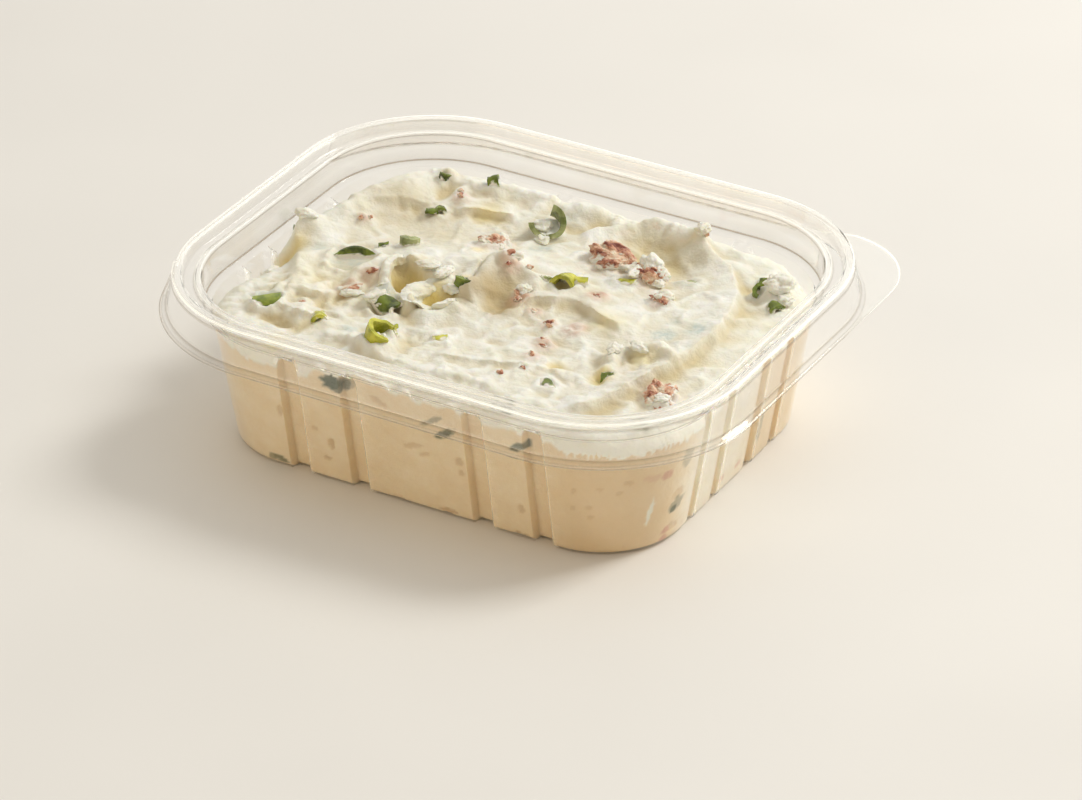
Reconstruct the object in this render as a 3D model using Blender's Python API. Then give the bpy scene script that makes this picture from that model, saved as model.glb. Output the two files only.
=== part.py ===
"""A clear deli tub with rounded corners, filled with cream cheese, bacon and spring onion.

The tub is one thin formed sheet: a flat foot, a tapered wall with upright grooves, a
shoulder, a smooth collar, a double rim, and a skirt that flares out into a narrow flange.
The flange is squared off at one corner as a pull tab, and one short side has no skirt,
because the lid was torn off there. The cream fills the tub to about the shoulder.

Sizes are in millimetres and are scaled to metres where a mesh is made. X runs along the
tub, Y across it and Z up, and the origin is the centre of the foot's underside.
"""

import math
import random
from collections import namedtuple

import bmesh
import bpy
import numpy as np
from mathutils import Matrix, Vector, noise

MM = 0.001
GAP = 0.3
SHEET = 0.5

# Tub outline: half sizes at the rim's outer edge, and the corner radius there
RIM_HALF = (75.0, 61.5)
RIM_CORNER = 39.0
WALL_CORNER = 27.4
FOOT_CORNER = 21.0
CORNER_STEPS = 12

# Heights of the tub
EDGE_Z = 1.4
SHOULDER_Z = 36.2
CHANNEL_Z = 41.9
SEAL_Z = 43.2
RIM_Z = 45.0
CREASE_Z = 37.5
FLANGE_Z = 35.0

# How far each level lies inside the rim's outer edge, where outwards is negative
FOOT_INSET = 14.6
WALL_INSET = 9.6
COLLAR_INSET = 7.4
SEAL_INSET = 6.3
BEAD_WIDTH = 2.4
CREASE_INSET = -1.3
FLANGE_INSET = -3.2

# Upright grooves: where each starts and ends, along X on the long sides and along Y on the short
LONG_GROOVES = ((-35.5, -29.5), (-18.2, -12.8), (15.7, 21.6), (32.2, 37.9))
SHORT_GROOVES = ((-22.2, -18.7), (-10.9, -6.8), (5.8, 10.7), (18.6, 22.3))
GROOVE_DEPTH = 2.1
GROOVE_SLOPE = 0.8

# Pull tab: the corner of a larger rectangle that the flange fills
TAB_HALF = (79.0, 65.8)
TAB_CORNER = 16.0
TAB_Z = 35.8
TAB_LEDGE = 2.0

# Outer edge of the flange: how far its narrow lip reaches out and down
EDGE_OUT = 0.35
EDGE_DROP = 0.25

# Torn side: the arc of the rim, in degrees, that has only a short lip, and that lip's levels as
# an inset and a depth below the rim's top
TORN_ARC = (164.0, 205.0)
TORN_LIP = ((-0.15, 1.9), (-0.3, 2.3), (-0.45, 2.7))

# Toppings
CURL_STEPS = 16
BACON_SEED = 2.0

# Cream: the level at rest, the cells of its faceted top, the highest that toppings and cream may
# reach, how far the block stands out past the wall, and how much wider each topping's seat is
CREAM_Z = 34.6
CREAM_CELLS = (40, 32)
CREAM_TOP_LIMIT = 40.3
BLOCK_LIMIT = 39.9
BLOCK_MARGIN = 1.0
SEAT_REACH = 0.45

Station = namedtuple("Station", "inset z corner ribbed")


def clear_scene():
    for old in list(bpy.data.objects):
        bpy.data.objects.remove(old, do_unlink=True)


def surface(name, colour, roughness, alpha=1.0, transmission=0.0):
    """A material with the piece's colour and finish."""
    material = bpy.data.materials.new(name)
    material.use_nodes = True
    shader = material.node_tree.nodes["Principled BSDF"]
    shader.inputs["Base Color"].default_value = (*colour, 1.0)
    shader.inputs["Roughness"].default_value = roughness
    shader.inputs["Metallic"].default_value = 0.0
    shader.inputs["Alpha"].default_value = alpha
    shader.inputs["Transmission Weight"].default_value = transmission
    return material


def add_object(name, mesh_builder, material):
    """Turns a bmesh in millimetres into an object in metres, with its faces turned out."""
    bmesh.ops.recalc_face_normals(mesh_builder, faces=mesh_builder.faces)
    bmesh.ops.scale(mesh_builder, vec=(MM, MM, MM), verts=mesh_builder.verts)
    mesh = bpy.data.meshes.new(name)
    mesh_builder.to_mesh(mesh)
    mesh_builder.free()
    mesh.materials.append(material)
    piece = bpy.data.objects.new(name, mesh)
    bpy.context.scene.collection.objects.link(piece)
    return piece


def shade(piece, degrees=35.0):
    piece.data.shade_smooth()
    piece.data.set_sharp_from_angle(angle=math.radians(degrees))


# Outlines of the tub

def groove_stops(quadrant):
    """Places along a straight side in the outline's direction, each with its groove share."""
    stops = []
    for start, end in LONG_GROOVES if quadrant % 2 == 0 else SHORT_GROOVES:
        stops += [(start, 0.0), (start + GROOVE_SLOPE, 1.0), (end - GROOVE_SLOPE, 1.0), (end, 0.0)]
    return stops[::-1] if quadrant < 2 else stops


def corner_centre(quadrant, inset, corner):
    x = RIM_HALF[0] - inset - corner
    y = RIM_HALF[1] - inset - corner
    sign = ((1, 1), (-1, 1), (-1, -1), (1, -1))[quadrant]
    return x * sign[0], y * sign[1]


def rim_point(quadrant, turn, inset, corner):
    """A point of the rounded rectangle at an angle of one of its corners."""
    x, y = corner_centre(quadrant, inset, corner)
    return x + corner * math.cos(turn), y + corner * math.sin(turn)


def corner_turns(quadrant):
    start = quadrant * 90.0
    return [math.radians(start + 90.0 * k / CORNER_STEPS) for k in range(CORNER_STEPS + 1)]


def side_point(quadrant, stop, share, inset):
    """A point of the straight side that follows a corner, pushed in where a groove runs."""
    depth = inset + GROOVE_DEPTH * share
    return (
        (stop, RIM_HALF[1] - depth),
        (depth - RIM_HALF[0], stop),
        (stop, depth - RIM_HALF[1]),
        (RIM_HALF[0] - depth, stop),
    )[quadrant]


def body_outline(inset, corner, ribbed=1.0):
    """The tub's section as a closed run of points: four corners and four grooved sides."""
    points = []
    for quadrant in range(4):
        points += [rim_point(quadrant, turn, inset, corner) for turn in corner_turns(quadrant)]
        for stop, share in groove_stops(quadrant):
            points.append(side_point(quadrant, stop, share * ribbed, inset))
    return points


# The tub

def body_stations():
    """The inner skin from the foot up to the shoulder, where the grooves end."""
    return [
        Station(FOOT_INSET + 1.3, SHEET, FOOT_CORNER - 1.2, 1.0),
        Station(FOOT_INSET + 0.5, SHEET + 0.3, FOOT_CORNER - 0.4, 1.0),
        Station(FOOT_INSET, SHEET + EDGE_Z, FOOT_CORNER, 1.0),
        Station(WALL_INSET, SHOULDER_Z - 1.0, WALL_CORNER, 1.0),
        Station(WALL_INSET - 0.6, SHOULDER_Z - 0.1, WALL_CORNER + 0.6, 0.0),
    ]


def rim_stations():
    """The inner skin from the shoulder, up the collar and over the rim, down to the flange."""
    rounded = RIM_CORNER
    return [
        Station(COLLAR_INSET + 0.2, SHOULDER_Z + 0.1, WALL_CORNER + 3.0, 0.0),
        Station(COLLAR_INSET, SHOULDER_Z + 1.0, rounded - COLLAR_INSET, 0.0),
        Station(SEAL_INSET + 0.9, SEAL_Z - 0.8, rounded - SEAL_INSET - 0.9, 0.0),
        Station(SEAL_INSET, SEAL_Z, rounded - SEAL_INSET, 0.0),
        Station(SEAL_INSET - 1.0, CHANNEL_Z + 0.3, rounded - SEAL_INSET + 1.0, 0.0),
        Station(BEAD_WIDTH + 0.7, CHANNEL_Z + 0.1, rounded - BEAD_WIDTH - 0.7, 0.0),
        Station(BEAD_WIDTH, RIM_Z - 1.2, rounded - BEAD_WIDTH, 0.0),
        Station(BEAD_WIDTH - 0.7, RIM_Z - 0.1, rounded - BEAD_WIDTH + 0.7, 0.0),
        Station(0.7, RIM_Z - 0.1, rounded - 0.7, 0.0),
        Station(0.0, RIM_Z - 1.3, rounded, 0.0),
    ]


def skirt_stations():
    """The skin outside the rim: the skirt's top, its crease and the flange's edge."""
    return [
        Station(-0.3, RIM_Z - 2.6, RIM_CORNER + 0.3, 0.0),
        Station(CREASE_INSET, CREASE_Z, RIM_CORNER - CREASE_INSET, 0.0),
        Station(FLANGE_INSET, FLANGE_Z, RIM_CORNER - FLANGE_INSET, 0.0),
    ]


def underside(stations):
    """Stations of the other skin, one sheet thickness below or outside the given ones."""
    other = []
    for k, here in enumerate(stations):
        near = stations[max(k - 1, 0) : k + 2]
        steps = [(a.inset - b.inset, b.z - a.z) for a, b in zip(near, near[1:])]
        if k == 0:
            steps.insert(0, (1.0, 0.0))
        units = [(out / math.hypot(out, up), up / math.hypot(out, up)) for out, up in steps]
        out = sum(u[0] for u in units) / len(units)
        up = sum(u[1] for u in units) / len(units)
        length = math.hypot(out, up)
        reach = SHEET / length * min(1.0 / length, 1.4)
        inset, corner = here.inset - up * reach, here.corner + up * reach
        other.append(Station(inset, here.z - out * reach, corner, here.ribbed))
    return other


def in_torn_arc(quadrant, turn):
    degrees = math.degrees(turn)
    return quadrant in (1, 2) and TORN_ARC[0] <= degrees <= TORN_ARC[1]


def tab_share(quadrant, turn):
    """1 in the middle of the tab's corner, falling to 0 where its arc ends."""
    return math.sin(2.0 * turn) if quadrant == 0 else 0.0


def plain_loop(builder, station, level, torn_lip):
    """One loop of rim points. Skirt levels, which are 1, follow the tab and the torn side."""
    loop = []
    for quadrant in range(4):
        for turn in corner_turns(quadrant):
            inset, z, corner = station.inset, station.z, station.corner
            if level and in_torn_arc(quadrant, turn):
                inset, z = torn_lip
                corner = RIM_CORNER - inset
            bulge = TAB_LEDGE * tab_share(quadrant, turn) if level else 0.0
            x, y = rim_point(quadrant, turn, inset, corner)
            x += bulge * math.cos(turn)
            y += bulge * math.sin(turn)
            loop.append(builder.verts.new((x, y, z)))
    return loop


def tab_loop(builder, flange_loop, drop):
    """The sheet's outer edge: a narrow lip along the flange, and the squared corner of the tab."""
    loop = []
    per_corner = CORNER_STEPS + 1
    centre = (TAB_HALF[0] - TAB_CORNER, TAB_HALF[1] - TAB_CORNER)
    for k, vert in enumerate(flange_loop):
        quadrant, step = divmod(k, per_corner)
        place = vert.co.copy()
        if quadrant == 0:
            turn = math.radians(90.0 * step / CORNER_STEPS)
            ray = Vector((math.cos(turn), math.sin(turn)))
            corner = Vector(centre) + ray * TAB_CORNER
            place = Vector((corner.x, corner.y, TAB_Z - drop))
        else:
            out = Vector((place.x, place.y, 0.0)).normalized()
            place = place + out * EDGE_OUT - Vector((0.0, 0.0, EDGE_DROP))
        loop.append(builder.verts.new(place))
    return loop


def bridge(builder, lower, upper):
    count = len(lower)
    for k in range(count):
        n = (k + 1) % count
        builder.faces.new((lower[k], lower[n], upper[n], upper[k]))


def bridge_to_plain(builder, grooved, plain):
    """Joins a grooved loop to a plain one, whose straight sides have no points between corners."""
    per_corner = CORNER_STEPS + 1
    per_side = len(grooved) // 4
    for quadrant in range(4):
        low = quadrant * per_side
        high = quadrant * per_corner
        for k in range(CORNER_STEPS):
            under, over = low + k, high + k
            builder.faces.new((grooved[under], grooved[under + 1], plain[over + 1], plain[over]))
        side = range(low + CORNER_STEPS, low + per_side + 1)
        run = [grooved[k % len(grooved)] for k in side]
        ends = [plain[(high + per_corner) % len(plain)], plain[high + CORNER_STEPS]]
        builder.faces.new(run + ends)


def skin(builder, body, rim, skirt, lips, drop):
    """One skin of the sheet, from the foot's middle to the flange's edge. Returns that edge."""
    loops = []
    for station in body:
        points = body_outline(station.inset, station.corner, station.ribbed)
        loops.append([builder.verts.new((x, y, station.z)) for x, y in points])
    builder.faces.new(loops[0])
    for lower, upper in zip(loops, loops[1:]):
        bridge(builder, lower, upper)
    plain = [plain_loop(builder, station, 0, None) for station in rim]
    plain += [plain_loop(builder, station, 1, lip) for station, lip in zip(skirt, lips)]
    bridge_to_plain(builder, loops[-1], plain[0])
    for lower, upper in zip(plain, plain[1:]):
        bridge(builder, lower, upper)
    edge = tab_loop(builder, plain[-1], drop)
    bridge(builder, plain[-1], edge)
    return edge


def make_tub(material):
    body, rim, skirt = body_stations(), rim_stations(), skirt_stations()
    stations = body + rim + skirt
    other = underside(stations)
    split = (len(body), len(body) + len(rim))
    builder = bmesh.new()
    lips = [(inset, RIM_Z - depth) for inset, depth in TORN_LIP]
    under_lips = [(inset + SHEET, z - 0.1) for inset, z in lips]
    top_edge = skin(builder, body, rim, skirt, lips, 0.0)
    under_body, under_rim, under_skirt = other[: split[0]], other[split[0] : split[1]], other[split[1] :]
    under_edge = skin(builder, under_body, under_rim, under_skirt, under_lips, SHEET)
    bridge(builder, top_edge, under_edge)
    shade(add_object("tub", builder, material))


# Relief of the cream

def hill(x, y, place, size, turn=0.0):
    """A soft hill of height 1 with the given half sizes, turned by an angle in degrees."""
    c, s = math.cos(math.radians(turn)), math.sin(math.radians(turn))
    along = ((x - place[0]) * c + (y - place[1]) * s) / size[0]
    across = ((y - place[1]) * c - (x - place[0]) * s) / size[1]
    return np.exp(-(along**2 + across**2))


def smooth_path(points, steps=6):
    """A smooth curve through the points, as a denser run of points."""
    p = [np.array(q, float) for q in points]
    p = [2 * p[0] - p[1]] + p + [2 * p[-1] - p[-2]]
    run = []
    for a, b, c, d in zip(p, p[1:], p[2:], p[3:]):
        for k in range(steps):
            t = k / steps
            square, cube = 2 * a - 5 * b + 4 * c - d, 3 * b - a - 3 * c + d
            run.append(0.5 * (2 * b + (c - a) * t + square * t**2 + cube * t**3))
    return np.array(run + [p[-2]])


def crest(x, y, points, left, right, fade=6.0):
    """A ridge of height 1 along a path. Left and right are its widths on its two sides."""
    path = smooth_path(points)
    start, step = path[:-1], np.diff(path, axis=0)
    length = np.hypot(step[:, 0], step[:, 1])
    travelled = np.concatenate([[0.0], np.cumsum(length)])
    nearest = np.full(x.shape, 1e9)
    side = np.zeros(x.shape)
    place = np.zeros(x.shape)
    for (ax, ay), (dx, dy), size, before in zip(start, step, length, travelled):
        t = np.clip(((x - ax) * dx + (y - ay) * dy) / size**2, 0.0, 1.0)
        gap = np.hypot(x - ax - t * dx, y - ay - t * dy)
        closer = gap < nearest
        nearest = np.where(closer, gap, nearest)
        side = np.where(closer, dx * (y - ay) - dy * (x - ax), side)
        place = np.where(closer, before + t * size, place)
    width = np.where(side > 0.0, left, right)
    ends = np.clip(np.minimum(place, travelled[-1] - place) / fade + 0.35, 0.0, 1.0)
    return np.exp(-((nearest / width) ** 2)) * ends


# Spatula ridges: the path, the height, and the widths on the left and right of the path
CRESTS = (
    (((-63, 1), (-58.3, 14), (-56, 26), (-51, 36.5), (-43.5, 42.2), (-39, 41.2)), 4.3, 2.8, 6.5),
    (((-41.5, 43), (-28, 45.4), (-15, 46.4), (-4, 49)), 2.4, 3.4, 3.6),
    (((-64.5, 6), (-57.2, -6), (-52.6, -13.4), (-45.8, -29)), 2.3, 6.5, 3.0),
    (((-3, 37), (3, 40.5), (14, 49), (28, 44.5), (41, 34.5), (49, 18), (51, 2), (46.6, -21), (37, -43)),
     3.0, 2.8, 6.5),
    (((3.6, -9.5), (4.6, -2), (12.3, 5.6), (22, 2), (32, -3.5)), 2.2, 5.5, 2.6),
    (((37, -22), (36.8, -12), (43.4, -9.6), (49.5, -12)), 2.2, 2.6, 3.0),
    (((-31, -41), (-15, -40.8), (2, -42), (20, -42)), 1.3, 3.0, 3.0),
    (((-34, -2.5), (-30.6, -9), (-25.4, -15.8)), 2.0, 2.6, 3.6),
    (((-22, -20), (-20.8, -14), (-16, -7.4), (-10.8, -6.2)), 2.3, 2.8, 3.4),
    (((-10.6, -7), (-10.8, 4), (-7.6, 9.2), (-1.8, 4)), 1.9, 2.8, 2.8),
)

# Hollows and lumps: the place, the half sizes, the turn in degrees and the height
HILLS = (
    ((18, 39.5), (17, 7), -12, -4.2),
    ((31, 27), (13, 9), 35, -1.0),
    ((-36, 18), (22, 9), 30, -1.2),
    ((-17, 7), (21, 12.5), 18, 3.4),
    ((-33, -8), (5.5, 5.5), -50, 1.4),
    ((-25.6, -8.4), (4.0, 3.6), 50, -3.2),
    ((-4.6, -2.6), (9.5, 4.3), 104, -3.4),
    ((5, -17), (18, 7), 20, -0.9),
    ((34, 2), (17, 13), 30, 0.8),
    ((62, 46), (15, 17), 40, -5.0),
    ((-67, 27), (6, 17), 8, -3.6),
    ((-52, 50), (12, 5), 35, -2.5),
    ((-62.2, -9.0), (4.4, 6.4), -28, -7.5),
    ((-66, -22), (6, 9), 0, -4.0),
    ((55.5, 33.5), (5.4, 4.6), 20, 4.0),
    ((-61, -26), (4, 5), 0, 1.4),
    ((-20, -38), (14, 4), 0, 0.7),
    ((20, -38), (14, 6), 10, 0.7),
    ((-48.3, 31.5), (5.6, 3.6), 52, 2.2),
    ((48, -40), (12, 8), -40, -0.7),
)


def relief(x, y):
    """Height of the cream's top in millimetres over arrays of places."""
    z = np.full(x.shape, CREAM_Z)
    for points, height, left, right in CRESTS:
        z = z + height * crest(x, y, points, left, right)
    for place, size, turn, height in HILLS:
        z = z + height * hill(x, y, place, size, turn)
    z = z + 1.3 * np.clip((-y - 30.0) / 20.0, 0.0, 1.0)
    flat_x, flat_y = x.ravel(), y.ravel()
    rough = [noise.fractal(Vector((a / 9.0, b / 9.0, 0.3)), 1.0, 2.0, 3) for a, b in zip(flat_x, flat_y)]
    return z + 0.7 * np.array(rough).reshape(x.shape)


def height_at(x, y):
    return float(relief(np.array([[float(x)]]), np.array([[float(y)]]))[0, 0])


# Toppings: each builder returns a bmesh in millimetres round its own origin

def fold_points(mesh, amount, scale, seed):
    """Roughens a closed mesh, so that it looks torn or cooked."""
    for vert in mesh.verts:
        at = vert.co / scale + Vector((seed, 0.0, 0.0))
        vert.co *= 1.0 + amount * noise.noise(at)


def bacon_lump(size, seed):
    """A knobbly scrap of cooked bacon."""
    mesh = bmesh.new()
    bmesh.ops.create_icosphere(mesh, subdivisions=3, radius=1.0)
    fold_points(mesh, 0.55, 0.8, seed)
    bmesh.ops.scale(mesh, vec=size, verts=mesh.verts)
    return mesh


def onion_curl(length, radius, sweep, wall):
    """A cut length of the hollow stem: a tube along X, open on its lower side."""
    mesh = bmesh.new()
    rings = []
    for k in range(CURL_STEPS + 1):
        turn = math.radians(sweep) * (k / CURL_STEPS - 0.5)
        corners = ((-0.5, radius), (0.5, radius), (0.5, radius - wall), (-0.5, radius - wall))
        ring = [(length * half, reach * math.sin(turn), reach * math.cos(turn)) for half, reach in corners]
        rings.append([mesh.verts.new(place) for place in ring])
    for a, b in zip(rings, rings[1:]):
        for j in range(4):
            n = (j + 1) % 4
            mesh.faces.new((a[j], b[j], b[n], a[n]))
    mesh.faces.new(rings[0])
    mesh.faces.new(rings[-1])
    return mesh


# Large toppings. Axis is where the piece's length runs, and middle is where its arch points.
# Sizes are the three half sizes of a scrap of bacon, or the length, radius, sweep and wall of a curl.
Topping = namedtuple("Topping", "name place lift axis middle sizes")
UP = (0, 0, 1)

TOPPINGS = (
    Topping("bacon_large_left", (12.3, 27.6), 0.9, (0.9, -0.3, 0), UP, (5.4, 3.9, 2.8)),
    Topping("bacon_large_right", (22.6, 26.4), 0.9, (0.8, 0.5, 0), UP, (4.4, 3.5, 2.7)),
    Topping("bacon_front_right", (54.2, -24.6), 0.1, (0.3, -1, -0.1), UP, (5.0, 3.1, 2.4)),
    Topping("bacon_back", (-16.6, 19.4), 0.3, (0.9, -0.2, 0), UP, (4.1, 3.0, 2.1)),
    Topping("onion_ring", (-17, -34.6), 1.2, (0.69, 0, 0.72), (-0.5, -0.8, 0.2), (4.6, 3.5, 290, 1.0)),
    Topping("onion_cut", (8.6, 9.8), -0.2, (0.1, -0.95, 0.22), (0.25, 0, 1), (5.0, 3.0, 190, 0.9)),
    Topping("onion_fold", (-24.6, -18.8), 0.2, (0.96, -0.24, -0.1), (0, -0.3, 1), (8.6, 2.5, 290, 0.8)),
    Topping("onion_oval", (-50.4, -32.4), -3.0, (0.8, 0.6, 0), (0.1, -0.3, 0.9), (8.6, 4.2, 64, 1.0)),
    Topping("onion_dome", (-10, 33.6), 0.5, (0.25, -0.55, 0.8), (0.9, 0.3, -0.1), (4.6, 3.9, 280, 1.0)),
    Topping("onion_leaf", (-43.6, -4.6), 2.2, (0.8, 0.6, 0), (0.2, 0.6, -0.75), (10.6, 3.5, 150, 0.9)),
)


def place_topping(mesh, topping):
    """Turns a topping and sets it on the cream, below the level that stays free."""
    ahead = Vector(topping.axis).normalized()
    up = Vector(topping.middle)
    up = (up - up.dot(ahead) * ahead).normalized()
    turn = Matrix((ahead, up.cross(ahead), up)).transposed()
    bmesh.ops.rotate(mesh, matrix=turn, verts=mesh.verts)
    high = max(vert.co.z for vert in mesh.verts)
    base = min(height_at(*topping.place) + topping.lift, CREAM_TOP_LIMIT - high)
    bmesh.ops.translate(mesh, vec=(*topping.place, base), verts=mesh.verts)


def seat_of(mesh):
    """The space a topping needs in the cream: its convex hull, grown by the gap."""
    seat = bmesh.new()
    middle = sum((vert.co for vert in mesh.verts), Vector()) / len(mesh.verts)
    for vert in mesh.verts:
        out = vert.co - middle
        grown = vert.co + out.normalized() * SEAT_REACH
        seat.verts.new(grown)
    hull = bmesh.ops.convex_hull(seat, input=seat.verts)
    unused = [part for part in hull["geom_interior"] if isinstance(part, bmesh.types.BMVert)]
    bmesh.ops.delete(seat, geom=unused, context="VERTS")
    for vert in seat.verts:
        vert.co += vert.normal * GAP
    return seat


def make_toppings(materials, seats):
    for seed, topping in enumerate(TOPPINGS):
        bacon = topping.name.startswith("bacon")
        mesh = bacon_lump(topping.sizes, BACON_SEED + 3.5 * seed) if bacon else onion_curl(*topping.sizes)
        place_topping(mesh, topping)
        cutter = add_object(topping.name + "_seat", seat_of(mesh), materials["cream"])
        cutter.hide_render = True
        cutter.display_type = "WIRE"
        bpy.context.scene.collection.objects.unlink(cutter)
        seats.objects.link(cutter)
        shade(add_object(topping.name, mesh, materials["bacon" if bacon else "onion"]))


# The cream

def cream_top_block():
    """A block with the relief on top, wider than the tub, which the tub's section then trims."""
    columns, rows = CREAM_CELLS
    half_x = RIM_HALF[0] - WALL_INSET + BLOCK_MARGIN
    half_y = RIM_HALF[1] - WALL_INSET + BLOCK_MARGIN
    xs = np.linspace(-half_x, half_x, columns + 1)
    ys = np.linspace(-half_y, half_y, rows + 1)
    x, y = np.meshgrid(xs, ys, indexing="ij")
    places = np.stack([x, y, np.minimum(relief(x, y), BLOCK_LIMIT)], axis=-1)
    block = bmesh.new()
    grid = [[block.verts.new(place) for place in line] for line in places]
    for i in range(columns):
        for j in range(rows):
            a, b, c, d = grid[i][j], grid[i + 1][j], grid[i + 1][j + 1], grid[i][j + 1]
            if (i + j) % 2:
                block.faces.new((a, b, c))
                block.faces.new((a, c, d))
            else:
                block.faces.new((a, b, d))
                block.faces.new((b, c, d))
    border = [grid[i][0] for i in range(columns)] + [grid[columns][j] for j in range(rows)]
    border += [grid[i][rows] for i in range(columns, 0, -1)] + [grid[0][j] for j in range(rows, 0, -1)]
    low = [block.verts.new((vert.co.x, vert.co.y, -2.0)) for vert in border]
    bridge(block, border, low)
    block.faces.new(low)
    return block


def tub_inside():
    """The space inside the tub's wall, less the gap, carried straight up above the shoulder."""
    inside = bmesh.new()
    foot, edge, wall = body_stations()[1:4]
    levels = (
        (foot.inset + 1.0, SHEET + GAP, foot.corner - 1.0),
        (edge.inset + GAP + 0.1, edge.z + 0.4, edge.corner),
        (wall.inset + GAP, wall.z, wall.corner - GAP),
        (wall.inset + GAP, RIM_Z + 2.0, wall.corner - GAP),
    )
    loops = []
    for inset, z, corner in levels:
        loops.append([inside.verts.new((x, y, z)) for x, y in body_outline(inset, corner)])
    for lower, upper in zip(loops, loops[1:]):
        bridge(inside, lower, upper)
    inside.faces.new(loops[0])
    inside.faces.new(loops[-1])
    return inside


# Small bits that show on top: how much each is stretched, and where onion and bacon lie
BIT_STRETCH = ((0.75, 1.25), (0.5, 0.8), (0.5, 0.7))
ONION_BITS = (
    (-64.5, 5.5), (-32.2, -35.6), (-27, -30.5), (-4.1, -27.9), (-34.8, 8.3), (-10.5, -7.5), (-38, 25.6),
    (-30.9, 42.5), (49.3, 38.2), (57.2, 26), (28.9, -35.8), (39.2, -25), (40.7, -32), (39.5, 4.2),
    (45.5, 9), (-8.6, 25.1), (34.6, 31), (22, 18), (-50, -22), (-41, 36), (4, -41), (30, -44),
)
BACON_BITS = (
    (31.4, 15.9), (-6.5, 6.5), (1.5, 8.3), (14, -8.1), (19, -20.2), (13.5, -35.5), (19.8, -29.6),
    (-50.7, 13), (-35.3, 35.7), (-33, -12.8), (25.9, 48.3), (20, 10), (22.5, -8.5), (2.9, -5.5),
    (-44, -16), (-2, 44), (44, -36), (-20, 5), (-44, 17), (36, -4),
)


def make_bits(places, size, seed, material):
    """Small bits, each a flattened twenty-sided grain sunk halfway into the cream."""
    draw = random.Random(seed)
    bits = []
    for k, (x, y) in enumerate(places):
        mesh = bmesh.new()
        bmesh.ops.create_icosphere(mesh, subdivisions=1, radius=1.0)
        stretch = [size * draw.uniform(low, high) for low, high in BIT_STRETCH]
        bmesh.ops.scale(mesh, vec=stretch, verts=mesh.verts)
        spin = Matrix.Rotation(draw.uniform(0.0, math.pi), 3, "Z")
        bmesh.ops.rotate(mesh, matrix=spin, verts=mesh.verts)
        z = min(height_at(x, y), CREAM_TOP_LIMIT - 1.5)
        bmesh.ops.translate(mesh, vec=(x, y, z), verts=mesh.verts)
        bits.append(add_object(f"bit_{seed}_{k}", mesh, material))
    return bits


def boolean(piece, operation, collection=None, other=None):
    """Applies one Boolean to a piece, with an object or a whole collection."""
    step = piece.modifiers.new(operation.title(), "BOOLEAN")
    step.operation = operation
    step.solver = "EXACT"
    if collection is not None:
        step.operand_type = "COLLECTION"
        step.collection = collection
    else:
        step.object = other
    graph = bpy.context.evaluated_depsgraph_get()
    mesh = bpy.data.meshes.new_from_object(piece.evaluated_get(graph))
    piece.modifiers.clear()
    piece.data = mesh


def remove_all(objects):
    for old in list(objects):
        bpy.data.objects.remove(old, do_unlink=True)


def make_cream(materials, seats):
    cream = add_object("cream", cream_top_block(), materials["cream"])
    bits = bpy.data.collections.new("bits")
    bpy.context.scene.collection.children.link(bits)
    for places, size, seed in ((ONION_BITS, 1.5, 11), (BACON_BITS, 1.7, 23)):
        for bit in make_bits(places, size, seed, materials["cream"]):
            bpy.context.scene.collection.objects.unlink(bit)
            bits.objects.link(bit)
    bpy.context.view_layer.update()
    boolean(cream, "UNION", collection=bits)
    remove_all(bits.objects)
    inside = add_object("inside", tub_inside(), materials["cream"])
    bpy.context.view_layer.update()
    boolean(cream, "INTERSECT", other=inside)
    remove_all([inside])
    boolean(cream, "DIFFERENCE", collection=seats)
    remove_all(seats.objects)
    shade(cream, 60.0)


def main():
    clear_scene()
    materials = {
        "clear": surface("clear_plastic", (0.93, 0.95, 0.95), 0.06, alpha=0.3, transmission=0.9),
        "cream": surface("cream_cheese", (0.86, 0.82, 0.70), 0.45),
        "bacon": surface("cooked_bacon", (0.55, 0.30, 0.24), 0.5),
        "onion": surface("spring_onion", (0.30, 0.40, 0.10), 0.4),
    }
    seats = bpy.data.collections.new("seats")
    bpy.context.scene.collection.children.link(seats)
    make_tub(materials["clear"])
    make_toppings(materials, seats)
    bpy.context.view_layer.update()
    make_cream(materials, seats)


main()
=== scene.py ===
"""Looks of the tub of bacon cream cheese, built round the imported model.

Shapes are worked out in millimetres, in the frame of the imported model, and are scaled to
metres where a mesh is made. X runs along the tub, Y across it and Z up.
"""

import math
import random
from collections import namedtuple
from itertools import product

import bpy
import numpy as np
from mathutils import Euler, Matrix, Quaternion, Vector, noise


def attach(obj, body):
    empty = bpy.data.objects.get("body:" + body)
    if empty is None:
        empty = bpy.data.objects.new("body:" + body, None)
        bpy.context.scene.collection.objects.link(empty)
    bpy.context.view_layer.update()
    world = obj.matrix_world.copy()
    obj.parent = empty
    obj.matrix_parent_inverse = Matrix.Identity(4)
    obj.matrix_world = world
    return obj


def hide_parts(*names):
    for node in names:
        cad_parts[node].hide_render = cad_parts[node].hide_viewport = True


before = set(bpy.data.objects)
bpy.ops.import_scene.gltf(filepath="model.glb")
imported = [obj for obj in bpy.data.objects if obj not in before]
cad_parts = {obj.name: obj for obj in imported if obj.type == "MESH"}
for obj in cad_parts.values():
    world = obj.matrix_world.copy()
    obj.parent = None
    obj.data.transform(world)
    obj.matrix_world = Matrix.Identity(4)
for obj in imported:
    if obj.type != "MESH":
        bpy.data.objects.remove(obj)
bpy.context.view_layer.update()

MM = 0.001
# Fractal noise: how its finer octaves fade, and how much finer each one is
FRACTAL = (0.9, 2.0)

# Camera, as fitted to the photo: what it looks at, in millimetres, and its angles in degrees
TARGET = (20.91, -23.10, 23.85)
CAMERA_TURN = -59.82
CAMERA_RISE = 30.43
CAMERA_ROLL = -0.23
CAMERA_DISTANCE = 1225.5
LENS = 171.04
SENSOR = 36.0

# The side from which the studio's light is brightest
BRIGHT_SIDE = (-0.15, 0.75, 0.65)

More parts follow.
